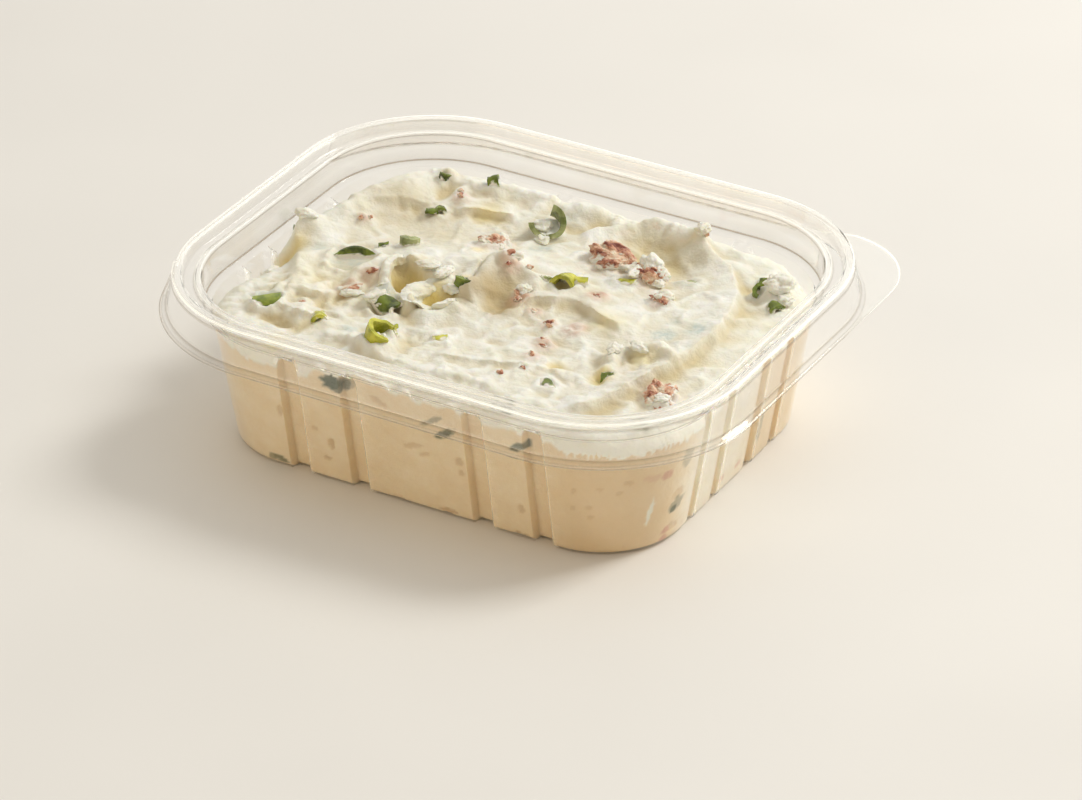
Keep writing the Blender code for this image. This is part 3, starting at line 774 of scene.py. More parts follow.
# A ridge: its path, its height, the widths on its left and right, how far its crest leans, how
# sharp it is, how quickly its ends fade and how uneven it is
Ridge = namedtuple("Ridge", "path height left right lean sharp fade uneven")
RIDGES = (
    # Back ridge: a thin lip above a wide face that falls towards the front
    Ridge(((-63, 1), (-60.5, 8), (-58.3, 14), (-57.6, 20), (-56, 26), (-53.8, 31.5), (-51, 36.5),
          (-47.5, 41), (-43.5, 42.2), (-39, 41.2)), 4.4, 2.2, 5.6, 0.7, 1.15, 5.0, 0.10),
    Ridge(((-41.5, 43), (-37, 43.4), (-32.5, 43.2), (-28, 45.4), (-22, 45.8), (-15, 46.4)),
          2.4, 3.0, 3.2, 0.2, 1.5, 4.0, 0.25),
    Ridge(((-56, 21), (-51, 25), (-45.5, 28.2), (-39.5, 31.6), (-34, 36)),
          1.3, 2.4, 0.9, 0.6, 1.2, 5.0, 0.2),
    # Left shoulder, which runs down from the stack beside the cavity
    Ridge(((-64.5, 6), (-61.2, 0.4), (-57.2, -6), (-52.6, -13.4), (-48.6, -21), (-45.8, -29)),
          2.5, 6.5, 2.4, 0.8, 1.3, 5.0, 0.12),
    # Bowl on the right and the long crest that leaves it
    Ridge(((-3, 37), (3, 40.5), (8, 45), (14, 49), (20, 48.6), (28, 44.5), (35, 40), (41, 34.5),
          (46, 27), (49, 18), (51, 9), (51, 2), (50.6, -6), (49, -13), (46.6, -21), (44, -30),
          (42, -37), (37, -43)), 2.8, 1.2, 6.5, -0.9, 1.15, 6.0, 0.16),
    # Lip of the middle plateau
    Ridge(((3.6, -9.5), (4.6, -2), (9, 2.4), (12.3, 5.6), (16.5, 4.4), (22, 2), (27, 0.2), (32, -3.5)),
          1.9, 5.5, 1.0, 0.9, 1.2, 4.0, 0.4),
    # Crumbly ridge at the front right
    Ridge(((37, -22), (35.8, -16), (36.8, -12), (40, -9.6), (43.4, -9.6), (46.2, -8.4), (49.5, -12)),
          2.6, 1.6, 2.8, 0.6, 1.3, 3.0, 0.6),
    # Strokes at the front
    Ridge(((-2, -34), (5, -32), (11, -29.8), (15.5, -28.2), (19.5, -27.2), (25.8, -26), (31, -27.5)),
          1.1, 3.5, 0.8, 0.7, 1.2, 4.0, 0.25),
    Ridge(((-31, -41), (-28, -38.6), (-22.5, -38.8), (-15, -40.8), (-7, -41.6), (2, -42), (10, -41),
          (20, -42)), 1.3, 3.0, 1.6, 0.3, 1.3, 4.0, 0.35),
    Ridge(((-53, -37.5), (-50.5, -34), (-46, -33), (-40.5, -33), (-35, -33.6), (-30, -36)),
          1.5, 3.2, 1.1, 0.7, 1.2, 3.0, 0.3),
    Ridge(((24, -44), (32, -42), (39, -44.5)), 0.9, 2.2, 2.2, 0.2, 1.4, 3.0, 0.4),
    # Smears on the left
    Ridge(((-46, -25), (-40.5, -23.4), (-38, -20.5), (-35.6, -17.4), (-32.4, -16.6)),
          1.5, 3.4, 0.8, 0.8, 1.2, 3.0, 0.3),
    Ridge(((-37.5, -17), (-36.4, -13), (-33.6, -11.4), (-31, -12)), 1.6, 1.5, 1.5, 0.3, 1.4, 2.0, 0.3),
    Ridge(((-56, -27), (-52, -24.5), (-49, -27), (-44, -29)), 1.1, 1.6, 1.6, 0.4, 1.3, 2.5, 0.4),
    # Lips at the back
    Ridge(((-35, 31), (-32.6, 32.4), (-29.4, 33.8), (-25.6, 34.9), (-20, 35.9)),
          1.8, 3.4, 0.8, 1.0, 1.15, 3.0, 0.15),
    Ridge(((-13, 42), (-8, 46.4), (-2, 49)), 1.4, 3.0, 3.0, 0.2, 1.4, 3.0, 0.3),
    # Curl on the left: the thin rim of its pocket, the fold behind and the mass in front of it
    Ridge(((-24.4, -17.5), (-27.7, -13.8), (-31.7, -7.0), (-29.8, -1.6), (-25.0, -1.9)),
          3.2, 3.8, 1.0, 0.9, 1.2, 2.5, 0.12),
    Ridge(((-26.0, -1.9), (-19.7, -3.9), (-14.6, -4.3), (-10.9, -4.6)),
          1.9, 2.6, 1.3, 0.7, 1.2, 2.0, 0.2),
    Ridge(((-14.4, -5.0), (-18.5, -8.2), (-20.2, -12.0), (-20.4, -16.4), (-18.4, -18.4)),
          2.4, 1.8, 1.6, -0.6, 1.5, 2.0, 0.15),
    Ridge(((-17.6, -18.2), (-13.6, -17.8), (-10.4, -14.6), (-8.4, -11.0)),
          1.2, 1.0, 1.8, -0.4, 1.3, 2.0, 0.3),
    # Curl in the middle: a thin rim above its wide smooth face, and a second rim behind
    Ridge(((-11.4, -7.6), (-9.6, -3.4), (-9.6, 1.6), (-9.8, 6.0), (-8.2, 9.4)),
          3.8, 1.2, 6.0, 0.5, 1.2, 2.0, 0.06),
    Ridge(((-8.6, 8.0), (-4.0, 7.6), (0.6, 6.2), (4.6, 2.6)), 2.4, 1.8, 2.6, -0.4, 1.3, 2.0, 0.2),
    Ridge(((-14.6, -0.6), (-12.6, -2.0), (-12.4, 1.6), (-13.8, 6.4)),
          1.3, 2.6, 0.8, 0.4, 1.3, 2.0, 0.15),
    # Edge of the front plane, at the foot of the curls
    Ridge(((-13, -12), (-10.6, -9.6), (-8.8, -9.2), (-6.6, -9.8), (-4, -11), (-1.4, -11.4),
          (1.2, -10.2), (3, -6.4)), 1.2, 0.9, 4.0, -0.9, 1.2, 2.0, 0.1),
)

# Hollows and lumps: the place, the half sizes, the turn in degrees and the height
HILLS = (
    ((18, 38.5), (18, 8), -12, -4.0), ((31, 27), (13, 9), 35, -1.0), ((-36, 18), (22, 9), 30, -1.2),
    ((-8, 30), (18, 8), 20, -0.6), ((6, 50), (16, 4), 0, 1.0),
    # Mound in the middle, and the pocket and troughs in its front
    ((-17, 7), (21, 12.5), 18, 3.4), ((-35, -9), (5.0, 6.5), -50, 1.8),
    ((-26.2, -8.6), (4.4, 3.4), 60, -4.4), ((-15.2, -11.6), (4.0, 1.9), 20, -2.8),
    ((-2.6, -3.0), (6.8, 5.2), 100, -3.0), ((25.4, 47.2), (2.4, 1.8), 0, 1.4),
    ((20.0, 47.2), (3.4, 1.8), 0, 1.0), ((3.8, 45.2), (3.6, 2.4), 0, 1.8),
    ((-6.4, 45.0), (5.2, 3.0), 30, 2.8), ((37.0, 41.6), (3.4, 1.6), -40, 1.0),
    ((5, -17), (18, 7), 20, -0.9), ((34, 2), (17, 13), 30, 0.8), ((42, 20), (9, 6), 60, 0.6),
    ((62, 46), (15, 17), 40, -5.0), ((-67, 27), (6, 17), 8, -3.6), ((-52, 50), (12, 5), 35, -2.5),
    ((-62.2, -9.0), (4.2, 6.4), -28, -9.5), ((-66, -22), (6, 9), 0, -4.0),
    ((55.5, 33.5), (5.4, 4.6), 20, 4.2), ((48.8, 37), (2.4, 5.5), -35, -2.4),
    ((-61, -26), (4, 5), 0, 1.4), ((-43, -38.6), (6, 2.0), -4, -1.8), ((-20, -38), (14, 4), 0, 0.7),
    ((20, -38), (14, 6), 10, 0.7), ((-48.3, 31.5), (5.6, 3.6), 52, 2.6),
    ((48, -40), (12, 8), -40, -0.7), ((-24.2, -21.5), (3.4, 2.6), 10, -2.0),
    ((8.4, 7.4), (2.4, 2.4), 0, -1.5), ((-10.4, 34.4), (2.6, 2.4), 0, 2.2),
    ((-14.6, -35.4), (2.6, 2.4), 0, 2.0), ((-19.8, -20.4), (2.0, 1.6), 0, -1.4),
    ((25.5, -24.5), (3.2, 1.4), 10, -1.4), ((38.5, -24.5), (1.6, 3.0), 0, -1.6),
)

# Long marks left by the knife: the place, the half sizes, and the turn of the marks in degrees
STROKE_ZONES = (
    ((-38, 16), (26, 14), 32), ((20, 38), (24, 14), -14), ((54, -6), (9, 44), 88),
    ((16, -16), (26, 12), 6), ((-6, 26), (22, 10), 22), ((26, 14), (20, 12), -20),
)

# Smears laid over one another: the place, the half sizes, the turn, the width and the height
FOLD_ZONES = (
    ((-40, -22), (19, 13), 24, 6.5, 0.9), ((10, -19), (30, 11), 8, 7.0, 0.8),
    ((-38, 16), (22, 13), 35, 8.0, 0.45), ((26, 6), (22, 15), -12, 8.0, 0.7),
    ((56, -6), (8, 38), 86, 6.0, 0.6), ((0, -38), (42, 8), 4, 5.5, 0.9),
    ((-24, 44), (30, 8), 8, 5.5, 0.9), ((10, 28), (24, 8), -8, 6.0, 0.6),
    ((-8, 12), (12, 9), 30, 5.0, 0.5),
)

# Torn, flecked parts of the top: the place, the half sizes and the strength
TORN_ZONES = (
    ((-40, -26), (17, 13), 1.0), ((-20, -31), (18, 9), 0.9), ((-35, -14), (8, 7), 0.6),
    ((14, -8), (12, 6), 0.7), ((26, -27), (14, 6), 0.7), ((42, -14), (9, 7), 1.0),
    ((4, -40), (34, 5), 0.6), ((-22, 30), (9, 5), 0.6), ((-40, 44), (20, 6), 0.6),
    ((4, 48), (30, 5), 0.7), ((55, 33), (8, 7), 0.8), ((-60, -27), (9, 8), 0.8),
    ((17, 27), (13, 6), 0.5),
)

# Where the cream meets the wall below the rim: places round the wall with their heights
CREAM_EDGE = (
    (-60.0, -24.0, 31.0), (-46.0, -49.0, 32.0), (-29.4, -51.3, 31.0), (-22.0, -51.3, 34.4),
    (-10.6, -52.0, 35.2), (2.0, -51.6, 34.0), (15.6, -51.8, 34.4), (28.0, -51.6, 33.0),
    (39.2, -51.7, 32.8), (44.7, -50.3, 30.2), (54.9, -45.3, 29.6), (61.5, -37.1, 29.4),
    (64.1, -28.3, 28.6), (65.0, -10.0, 31.0), (65.0, 10.0, 31.0), (62.0, 36.0, 31.0),
    (30.0, 52.0, 32.0), (-30.0, 52.0, 32.0), (-64.0, 20.0, 31.0),
)
# Where that starts to tell, inside of the wall, and over which length
EDGE_START = 0.5
EDGE_REACH = 4.4


def wall_gap(x, y):
    """How far inside the wall's upper edge each place lies."""
    over_x, over_y, corner = past_corners(np.abs(x), np.abs(y))
    inner = np.minimum(np.maximum(over_x, over_y), 0.0)
    return corner - (np.hypot(np.maximum(over_x, 0.0), np.maximum(over_y, 0.0)) + inner)


def past_corners(x, y):
    """How far places lie past the middle of the wall's rounded corners, and their radius."""
    corner = corner_radius(WALL_INSET)
    half_x, half_y = RIM_HALF
    return x - (half_x - WALL_INSET - corner), y - (half_y - WALL_INSET - corner), corner


def edge_height(x, y):
    """How high the cream's edge may stand at the wall."""
    weight, height = np.zeros(x.shape), np.zeros(x.shape)
    for ex, ey, ez in CREAM_EDGE:
        share = 1.0 / (np.hypot(x - ex, y - ey) + 0.5) ** 3
        weight += share
        height += share * ez
    return layered(x, y, EDGE_WAVES, height / weight)


def ridge_shape(x, y, ridge, seed):
    """A ridge over arrays of places: its height, and how far it leans in x and in y."""
    path = smooth_path(ridge.path)
    start, step = path[:-1], np.diff(path, axis=0)
    length = np.hypot(step[:, 0], step[:, 1])
    travelled = np.concatenate([[0.0], np.cumsum(length)])
    nearest = np.full(x.shape, np.inf)
    side = np.zeros(x.shape)
    place = np.zeros(x.shape)
    square = np.zeros(x.shape + (2,))
    for (ax, ay), (dx, dy), size, before in zip(start, step, length, travelled):
        t = np.clip(((x - ax) * dx + (y - ay) * dy) / size**2, 0.0, 1.0)
        gap = np.hypot(x - ax - t * dx, y - ay - t * dy)
        closer = gap < nearest
        nearest = np.where(closer, gap, nearest)
        side = np.where(closer, dx * (y - ay) - dy * (x - ax), side)
        place = np.where(closer, before + t * size, place)
        square[closer] = (dy / size, -dx / size)
    width = np.where(side > 0.0, ridge.left, ridge.right)
    ends = np.clip(np.minimum(place, travelled[-1] - place) / ridge.fade + RIDGE_END, 0.0, 1.0)
    along = np.linspace(0.0, travelled[-1], 200)
    wobble = [noise.fractal(Vector((s / RIDGE_WAVE, seed, 0.5)), *FRACTAL, 3) for s in along]
    uneven = 1.0 + ridge.uneven * np.interp(place, along, wobble)
    shape = np.exp(-((nearest / width) ** ridge.sharp)) * ends * uneven
    push = ridge.lean * shape**2
    return ridge.height * shape, push * square[..., 0], push * square[..., 1]


def folds(x, y, turn, size, seed):
    """Overlapping smears: a slow rise and a quick fall, again and again, with uneven edges."""
    across = along_across(x, y, turn)[1] / size + 0.8 * rough(x, y, 2.0 * size, seed, 3)
    phase = across - np.floor(across)
    fall = np.clip((1.0 - phase) / FOLD_FALL, 0.0, 1.0)
    strength = np.clip(0.45 + 1.3 * rough(x, y, 1.5 * size, seed + 5.0, 2), 0.0, 1.0)
    return phase**1.6 * fall * strength


def marks(x, y, turn, seed):
    """Fine long marks that run at the given angle."""
    along, across = along_across(x, y, turn)
    return rough(along / MARK_SIZE[0], across / MARK_SIZE[1], 1.0, seed, 2)


def creased(x, y, size, seed, power, level):
    """Noise with round lumps and sharp creases, counted from a level."""
    return np.clip(1.0 - np.abs(rough(x, y, size, seed, 2)), 0.0, 1.0) ** power - level


def relief(x, y):
    """Height of the cream's top over arrays of places, and how far it leans in x and y."""
    z = np.full(x.shape, CREAM_Z)
    lean_x, lean_y = np.zeros(x.shape), np.zeros(x.shape)
    bend_x, bend_y = layered(x, y, BEND_X), layered(x, y, BEND_Y)
    bent, bent_twice = (x + bend_x, y + bend_y), (x + 2.0 * bend_x, y + 2.0 * bend_y)
    for seed, ridge in enumerate(RIDGES):
        rise, push_x, push_y = ridge_shape(*bent, ridge, seed)
        z = z + rise
        lean_x, lean_y = lean_x + push_x, lean_y + push_y
    for place, size, turn, height in HILLS:
        z = z + height * hill(*bent, place, size, turn)
    z = layered(x, y, SLOW_WAVES, z + ramp(-y, *FRONT_RISE))
    for seed, (place, size, turn) in enumerate(STROKE_ZONES, MARK_SEED):
        z = z + MARK_HEIGHT * hill(x, y, place, size) * marks(x, y, turn, float(seed))
    for seed, (place, size, turn, width, height) in enumerate(FOLD_ZONES, FOLD_SEED):
        z = z + FOLD_SHARE * height * hill(x, y, place, size) * folds(*bent, turn, width, float(seed))
    z = z + LUMP_HEIGHT * creased(*bent_twice, *LUMPS)
    torn = np.zeros(x.shape)
    for place, size, strength in TORN_ZONES:
        torn = np.maximum(torn, strength * hill(x, y, place, size))
    z = z + torn * layered(x, y, FLECK_WAVES, FLECK_HEIGHT * creased(*bent_twice, *FLECKS))
    z = softened(z)
    inside = ramp(wall_gap(x, y), EDGE_START, EDGE_REACH)
    z = z + np.minimum(edge_height(x, y) - z, 0.0) * (1.0 - np.sqrt(1.0 - (1.0 - inside) ** 2))
    return z, lean_x, lean_y


def softened(z):
    """Heights as a small ball rolling over them leaves them: round lumps with sharp creases."""
    reach = int(BALL / CREAM_CELL)
    padded = np.pad(z, reach, mode="edge")
    rows, columns = z.shape
    highest = z
    for i in range(-reach, reach + 1):
        for j in range(-reach, reach + 1):
            gap = CREAM_CELL * math.hypot(i, j)
            if gap < BALL:
                moved = padded[reach + i:reach + i + rows, reach + j:reach + j + columns]
                highest = np.maximum(highest, moved - BALL + math.sqrt(BALL**2 - gap**2))
    return highest - (highest - z).mean()


def collars():
    """Where cream is pushed up round the toppings: the place, the radius and the height."""
    pieces = [(topping.place, topping.sizes[0], TOPPING_COLLAR) for topping in TOPPINGS]
    pieces += [(chip[0], chip[-1][0], CHIP_COLLAR) for chips in CHIPS.values() for chip in chips]
    pieces += [(place, size, BIT_COLLAR) for place, size, _ in BACON_BITS]
    return [(place, share * size + spare, height) for place, size, (share, spare, height) in pieces]


class Top:
    """The cream's top as a grid of heights, which gives the height anywhere."""

    def __init__(self):
        half_x, half_y = (half - WALL_INSET + TOP_SPARE for half in RIM_HALF)
        self.xs = np.arange(-half_x, half_x + CREAM_CELL, CREAM_CELL)
        self.ys = np.arange(-half_y, half_y + CREAM_CELL, CREAM_CELL)
        self.x, self.y = np.meshgrid(self.xs, self.ys, indexing="ij")
        self.z, self.lean_x, self.lean_y = relief(self.x, self.y)
        uneven = layered(self.x, self.y, COLLAR_WAVES, 1.0)
        for (x, y), reach, rise in collars():
            gap = np.hypot(self.x - x, self.y - y)
            self.z += rise * uneven * np.exp(-(((gap - reach) / COLLAR_WIDTH) ** 2))

    def at(self, x, y):
        i = int(np.clip((x - self.xs[0]) / CREAM_CELL, 0, len(self.xs) - 1))
        j = int(np.clip((y - self.ys[0]) / CREAM_CELL, 0, len(self.ys) - 1))
        return float(self.z[i, j])


def cream_block(top):
    """A closed block with the relief on top, wider than the tub."""
    rows, columns = top.x.shape
    upper = np.stack([top.x + top.lean_x, top.y + top.lean_y, top.z], axis=-1).reshape(-1, 3)
    i, j = np.meshgrid(np.arange(rows - 1), np.arange(columns - 1), indexing="ij")
    a = (i * columns + j).ravel()
    faces = np.stack([a, a + columns, a + columns + 1, a + 1], axis=-1).tolist()
    border = [r * columns for r in range(rows - 1)]
    border += [(rows - 1) * columns + c for c in range(columns - 1)]
    border += [r * columns + columns - 1 for r in range(rows - 1, 0, -1)]
    border += [c for c in range(columns - 1, 0, -1)]
    lower = upper[border].copy()
    lower[:, 2] = BLOCK_FLOOR
    base = len(upper)
    count = len(border)
    for k in range(count):
        n = (k + 1) % count
        faces.append((border[n], border[k], base + k, base + n))
    faces.append(tuple(base + k for k in reversed(range(count))))
    return np.concatenate([upper, lower]), faces


def wall_levels():
    """Levels of the inner skin, from the foot's edge to the shoulder, as (inset, height)."""
    profile = np.array(rounded_profile())
    last = int(np.argmax(profile[:, 1] > SHOULDER_Z - 0.9))
    first = int(np.argmax(profile[:, 1] > profile[0, 1] + 0.02)) - 1
    edge = profile[first:last + 1]
    low = np.linspace(edge[0, 1], FOOT_Z, FOOT_STEPS)
    heights = np.concatenate([low, np.arange(FOOT_Z + SIDE_CELL, edge[-1, 1], SIDE_CELL)])
    insets = np.interp(heights, edge[:, 1], edge[:, 0])
    return list(zip(insets, heights)) + [(edge[-1, 0], edge[-1, 1]), (edge[-1, 0], ABOVE_RIM)]


def inside_space():
    """The space inside the wall plus a small reach into it, with a fine grid down the side."""
    rows = []
    for inset, z in wall_levels():
        flat = outline(inset - CREAM_REACH, z, SIDE_SAMPLES)
        rows.append(np.column_stack([flat, np.full(len(flat), z if rows else z - CREAM_REACH)]))
    return np.concatenate(rows), ring_faces(len(rows), len(SIDE_SAMPLES))


def trim(block, space):
    """Keeps the part of the block inside the space."""
    step = block.modifiers.new("Trim", "BOOLEAN")
    step.operation = "INTERSECT"
    step.solver = "EXACT"
    step.object = space
    graph = bpy.context.evaluated_depsgraph_get()
    mesh = bpy.data.meshes.new_from_object(block.evaluated_get(graph))
    block.modifiers.clear()
    block.data = mesh
    bpy.data.objects.remove(space, do_unlink=True)


def blurred(grid, size):
    """The grid smoothed over about the given number of cells."""
    kernel = np.exp(-0.5 * (np.arange(-3 * size, 3 * size + 1) / size) ** 2)
    kernel /= kernel.sum()
    grid = np.pad(grid, 3 * size, mode="edge")
    for axis in (0, 1):
        grid = np.apply_along_axis(np.convolve, axis, grid, kernel, mode="valid")
    return grid


# Paint on the cream

# Spots on the wall, by kind: bits seen through it, voids with painted shade, a white streak and
# painted glow; the place, the half sizes along the wall and up, the turn in degrees and the strength
WALL_SPOTS = {
    "green": (
        ((-20.1, -51.5, 31.4), (2.6, 2.2), 0, 1.0), ((-18.0, -51.4, 30.2), (2.6, 1.4), 30, 0.8),
        ((-16.2, -51.4, 31.4), (2.2, 2.0), 0, 0.4), ((7.6, -50.8, 28.6), (3.6, 0.7), 35, 0.55),
        ((10.6, -50.5, 25.6), (3.4, 1.0), 35, 0.85), ((31.4, -50.9, 28.6), (2.6, 1.1), 25, 0.9),
        ((29.6, -50.7, 27.4), (1.4, 0.8), 0, 0.9), ((-40.6, -46.9, 2.2), (1.5, 1.0), 30, 0.6),
        ((-38.0, -46.9, 2.4), (2.2, 0.8), -15, 0.75), ((63.4, -28.0, 23.4), (2.0, 2.4), 0, 0.35),
        ((61.5, -29.4, 10.8), (2.6, 1.8), 25, 0.5), ((61.4, -30.4, 9.6), (1.2, 0.9), 0, 0.9),
        ((61.6, 11.8, 10.0), (1.0, 4.6), 0, 0.45),
    ),
    # Voids against the wall: painted shade, over a small real dent
    "pit_shade": (
        ((61.8, -29.5, 13.6), (2.4, 1.4), 0, 0.5), ((60.4, -29.6, 4.4), (1.6, 1.4), 0, 0.7),
        ((-7.1, -51.1, 29.6), (2.2, 0.9), -25, 0.75), ((-22.6, -48.4, 12.2), (1.0, 1.5), 0, 0.85),
        ((-24.1, -47.7, 6.9), (1.2, 0.8), 0, 0.85), ((-26.8, -48.6, 15.4), (0.9, 0.7), 0, 0.5),
        ((1.4, -49.5, 19.1), (3.0, 0.8), 20, 0.5), ((4.3, -49.3, 17.4), (1.6, 0.6), 20, 0.6),
        ((13.7, -49.4, 18.3), (1.0, 1.3), 0, 0.7), ((14.2, -48.9, 15.0), (0.8, 1.0), 0, 0.7),
        ((-36.4, -49.3, 17.6), (0.8, 1.8), 0, 0.6), ((29.8, -48.0, 9.4), (0.9, 1.2), 0, 0.7),
        ((9.2, -46.9, 1.7), (2.6, 0.7), 0, 0.95), ((29.2, -46.8, 1.2), (2.6, 0.6), 0, 0.9),
        ((-5.0, -46.9, 1.3), (1.6, 0.5), 0, 0.6), ((56.0, -42.8, 21.8), (1.5, 0.7), -20, 0.85),
        ((44.5, -48.9, 19.4), (0.6, 0.9), 0, 0.6), ((43.9, -48.3, 14.1), (0.7, 0.6), 0, 0.7),
        ((47.7, -47.3, 14.7), (0.9, 0.6), 0, 0.7), ((50.5, -46.8, 20.4), (0.7, 0.6), 0, 0.5),
        ((54.2, -44.0, 19.1), (0.8, 0.6), 0, 0.6), ((47.9, -46.7, 11.9), (1.0, 0.6), 0, 0.7),
    ),
    "white": (
        ((58.6, -37.4, 11.4), (0.7, 4.2), -12, 0.9),
    ),
    "pink": (
        ((61.6, -34.6, 21.2), (1.6, 1.3), 0, 0.8), ((59.7, -38.1, 21.8), (2.4, 1.2), 0, 0.35),
        ((60.0, -32.0, 4.0), (1.5, 1.1), 20, 0.9), ((59.6, -32.1, 1.6), (1.3, 0.9), 0, 0.9),
        ((60.9, -5.5, 4.9), (1.3, 0.9), 0, 0.5), ((61.0, 2.3, 4.6), (1.6, 0.9), 0, 0.6),
    ),
    # Painted glow of light through thin cream under the rim
    "glow_and_shade": (
        ((46.8, -50.0, 32.2), (2.0, 0.8), 20, 0.9), ((50.0, -48.6, 30.2), (2.4, 0.7), 10, 0.8),
    ),
}
SPOT_SIZE = 1.15
SPOT_EDGE = 0.3
SPOT_WARP = 0.4
SPOT_WAVE = 1.6
SPOT_DEPTH = 5.0
PIT_DEPTH = 0.35

# Where a tone starts, and over which length it grows: below the top for the wall's painted shade,
# inside of the wall for the painted bright band under the rim and for the painted shade in hollows,
# and down the wall for the painted shade that grows towards its foot
SIDE_START = (0.5, 0.9)
LIT_BAND = (1.0, 2.5)
INLAND = (1.5, 4.0)
LOW_WALL = (-14.0, 12.0)
# Painted shade in hollows and on steep faces: how wide the hollows are in cells, how deep for the
# full shade, and the most they add
HOLLOW_SIZES = ((9, 2.4, 0.7), (3, 0.9, 0.4))
STEEP = (0.35, 1.0)
STEEP_SHARE = 0.4
MOST_HOLLOW = 0.9
# Painted light and shade on the wall's cream: paler where the short side is lit, and warmer and
# darker as shade round the near corner
BRIGHT_WALL_X = (58.0, 3.0)
BRIGHT_WALL_Y = (-33.0, 12.0)
BRIGHT_WALL_END = (0.0, 16.0)
BRIGHT_WALL = 0.62
WARM_SHADE_WALLS = (((52.0, -44.0), 15.0, 1.0), ((66.0, 20.0), 14.0, 0.6))

# Painted glow of warm light through thin cream, and along the right edge a little painted shade:
# the place on top, the half size and the strength
GLOW_AND_SHADE_SPOTS = (
    ((56.5, -16.0), 6.0, 0.1), ((57.5, -4.0), 6.0, 0.1), ((57.5, 8.0), 6.0, 0.1),
    ((56.0, 19.0), 5.0, 0.1), ((-25.6, -8.0), 3.8, 0.95), ((-16.4, -11.2), 3.6, 1.0),
    ((-12.2, -3.4), 1.6, 0.9), ((-62.5, -8.0), 4.6, 0.9), ((-60.0, -3.0), 3.0, 0.6),
    ((38.0, -23.6), 2.6, 0.8), ((43.0, -13.4), 3.4, 0.45), ((25.6, -24.4), 2.4, 0.6),
    ((17.0, 36.0), 8.0, 0.22), ((-27.0, 34.2), 4.0, 0.5), ((-17.6, 13.0), 2.0, 0.6),
    ((27.0, -1.5), 4.0, 0.35), ((-36.0, -37.4), 3.0, 0.5), ((-38.0, -48.6), 3.0, 0.8),
    ((-44.0, -18.0), 11.0, 0.22),
)
# Painted shade on faces turned away from the light, in the same form
DEEP_SHADE_SPOTS = (
    ((-5.0, -2.4), 4.6, 0.75), ((-0.6, -5.6), 4.2, 0.75), ((2.6, -1.4), 3.4, 0.4),
    ((-11.6, -6.6), 2.0, 0.5), ((18.0, 2.0), 3.0, 0.3), ((-8.6, -8.6), 2.4, 0.6),
    ((-8.0, -4.8), 3.6, 0.65), ((-5.6, 2.4), 3.0, 0.4),
)
# Painted shade on smooth faces, in a tan tone, in the same form
TAN_SHADE_SPOTS = (
    ((-4.6, -1.2), 5.0, 1.0), ((0.2, -5.4), 4.6, 0.95), ((27.0, 38.5), 7.0, 0.5),
    ((14.0, 41.0), 8.0, 0.4), ((-46.0, 24.0), 10.0, 0.6), ((-33.0, 20.0), 10.0, 0.5),
    ((16.0, 1.0), 7.0, 0.25), ((46.0, -24.0), 7.0, 0.25),
)

# Tints on the top, by kind: green and pink from bits just under it, and cool grey patches, partly
# painted shade beside dark bits; the place, the half size and the strength
TOP_TINTS = {
    "green": (
        ((56.6, -38.0), 2.0, 0.7), ((25.6, -47.0), 1.8, 0.6), ((22.0, -46.4), 1.2, 0.5),
        ((32.3, 29.8), 2.8, 0.25), ((19.2, 19.6), 3.6, 0.25),
    ),
    "cool": (
        ((41.1, 0.8), 2.8, 0.76), ((47.0, 5.8), 2.6, 0.76), ((40.3, 7.6), 2.0, 0.36),
        ((-6.8, 24.4), 2.8, 0.68), ((-25.4, -34.4), 2.2, 0.63), ((-53.4, -3.4), 2.2, 0.50),
        ((-43.0, -6.2), 4.5, 0.45), ((-26.0, -17.5), 4.0, 0.45), ((-51.0, -31.0), 4.0, 0.40),
        ((-9.6, 33.0), 4.4, 0.36),
    ),
    "pink": (
        ((18.1, 9.3), 3.0, 0.5), ((20.6, -6.3), 3.4, 0.38), ((13.8, -7.6), 2.4, 0.42),
        ((-36.0, -18.4), 3.2, 0.42), ((-33.4, -12.2), 2.8, 0.34), ((8.1, -3.8), 2.2, 0.34),
        ((17.6, -15.4), 3.0, 0.4), ((18.4, -22.4), 2.6, 0.34), ((-4.6, 6.4), 3.0, 0.42),
        ((2.3, -1.8), 2.8, 0.6), ((-16.6, 19.4), 4.6, 0.34), ((12.0, 27.0), 6.5, 0.3),
        ((22.4, 25.4), 5.5, 0.26), ((53.6, -23.6), 5.0, 0.32), ((32.4, 15.0), 3.0, 0.38),
        ((-51.4, 14.0), 2.0, 0.3), ((-35.9, 35.4), 2.6, 0.34),
    ),
}


def paint(mesh, name, values):
    layer = mesh.attributes.new(name, "FLOAT", "POINT")
    layer.data.foreach_set("value", np.clip(values, 0.0, 1.0).astype(np.float32))


def wall_out(x, y):
    """The outward direction of the wall nearest to a place."""
    over_x, over_y, _ = past_corners(abs(x), abs(y))
    if min(over_x, over_y) < 0.0:
        over_x, over_y = (1.0, 0.0) if over_x > over_y else (0.0, 1.0)
    length = math.hypot(over_x, over_y)
    return math.copysign(over_x / length, x), math.copysign(over_y / length, y)


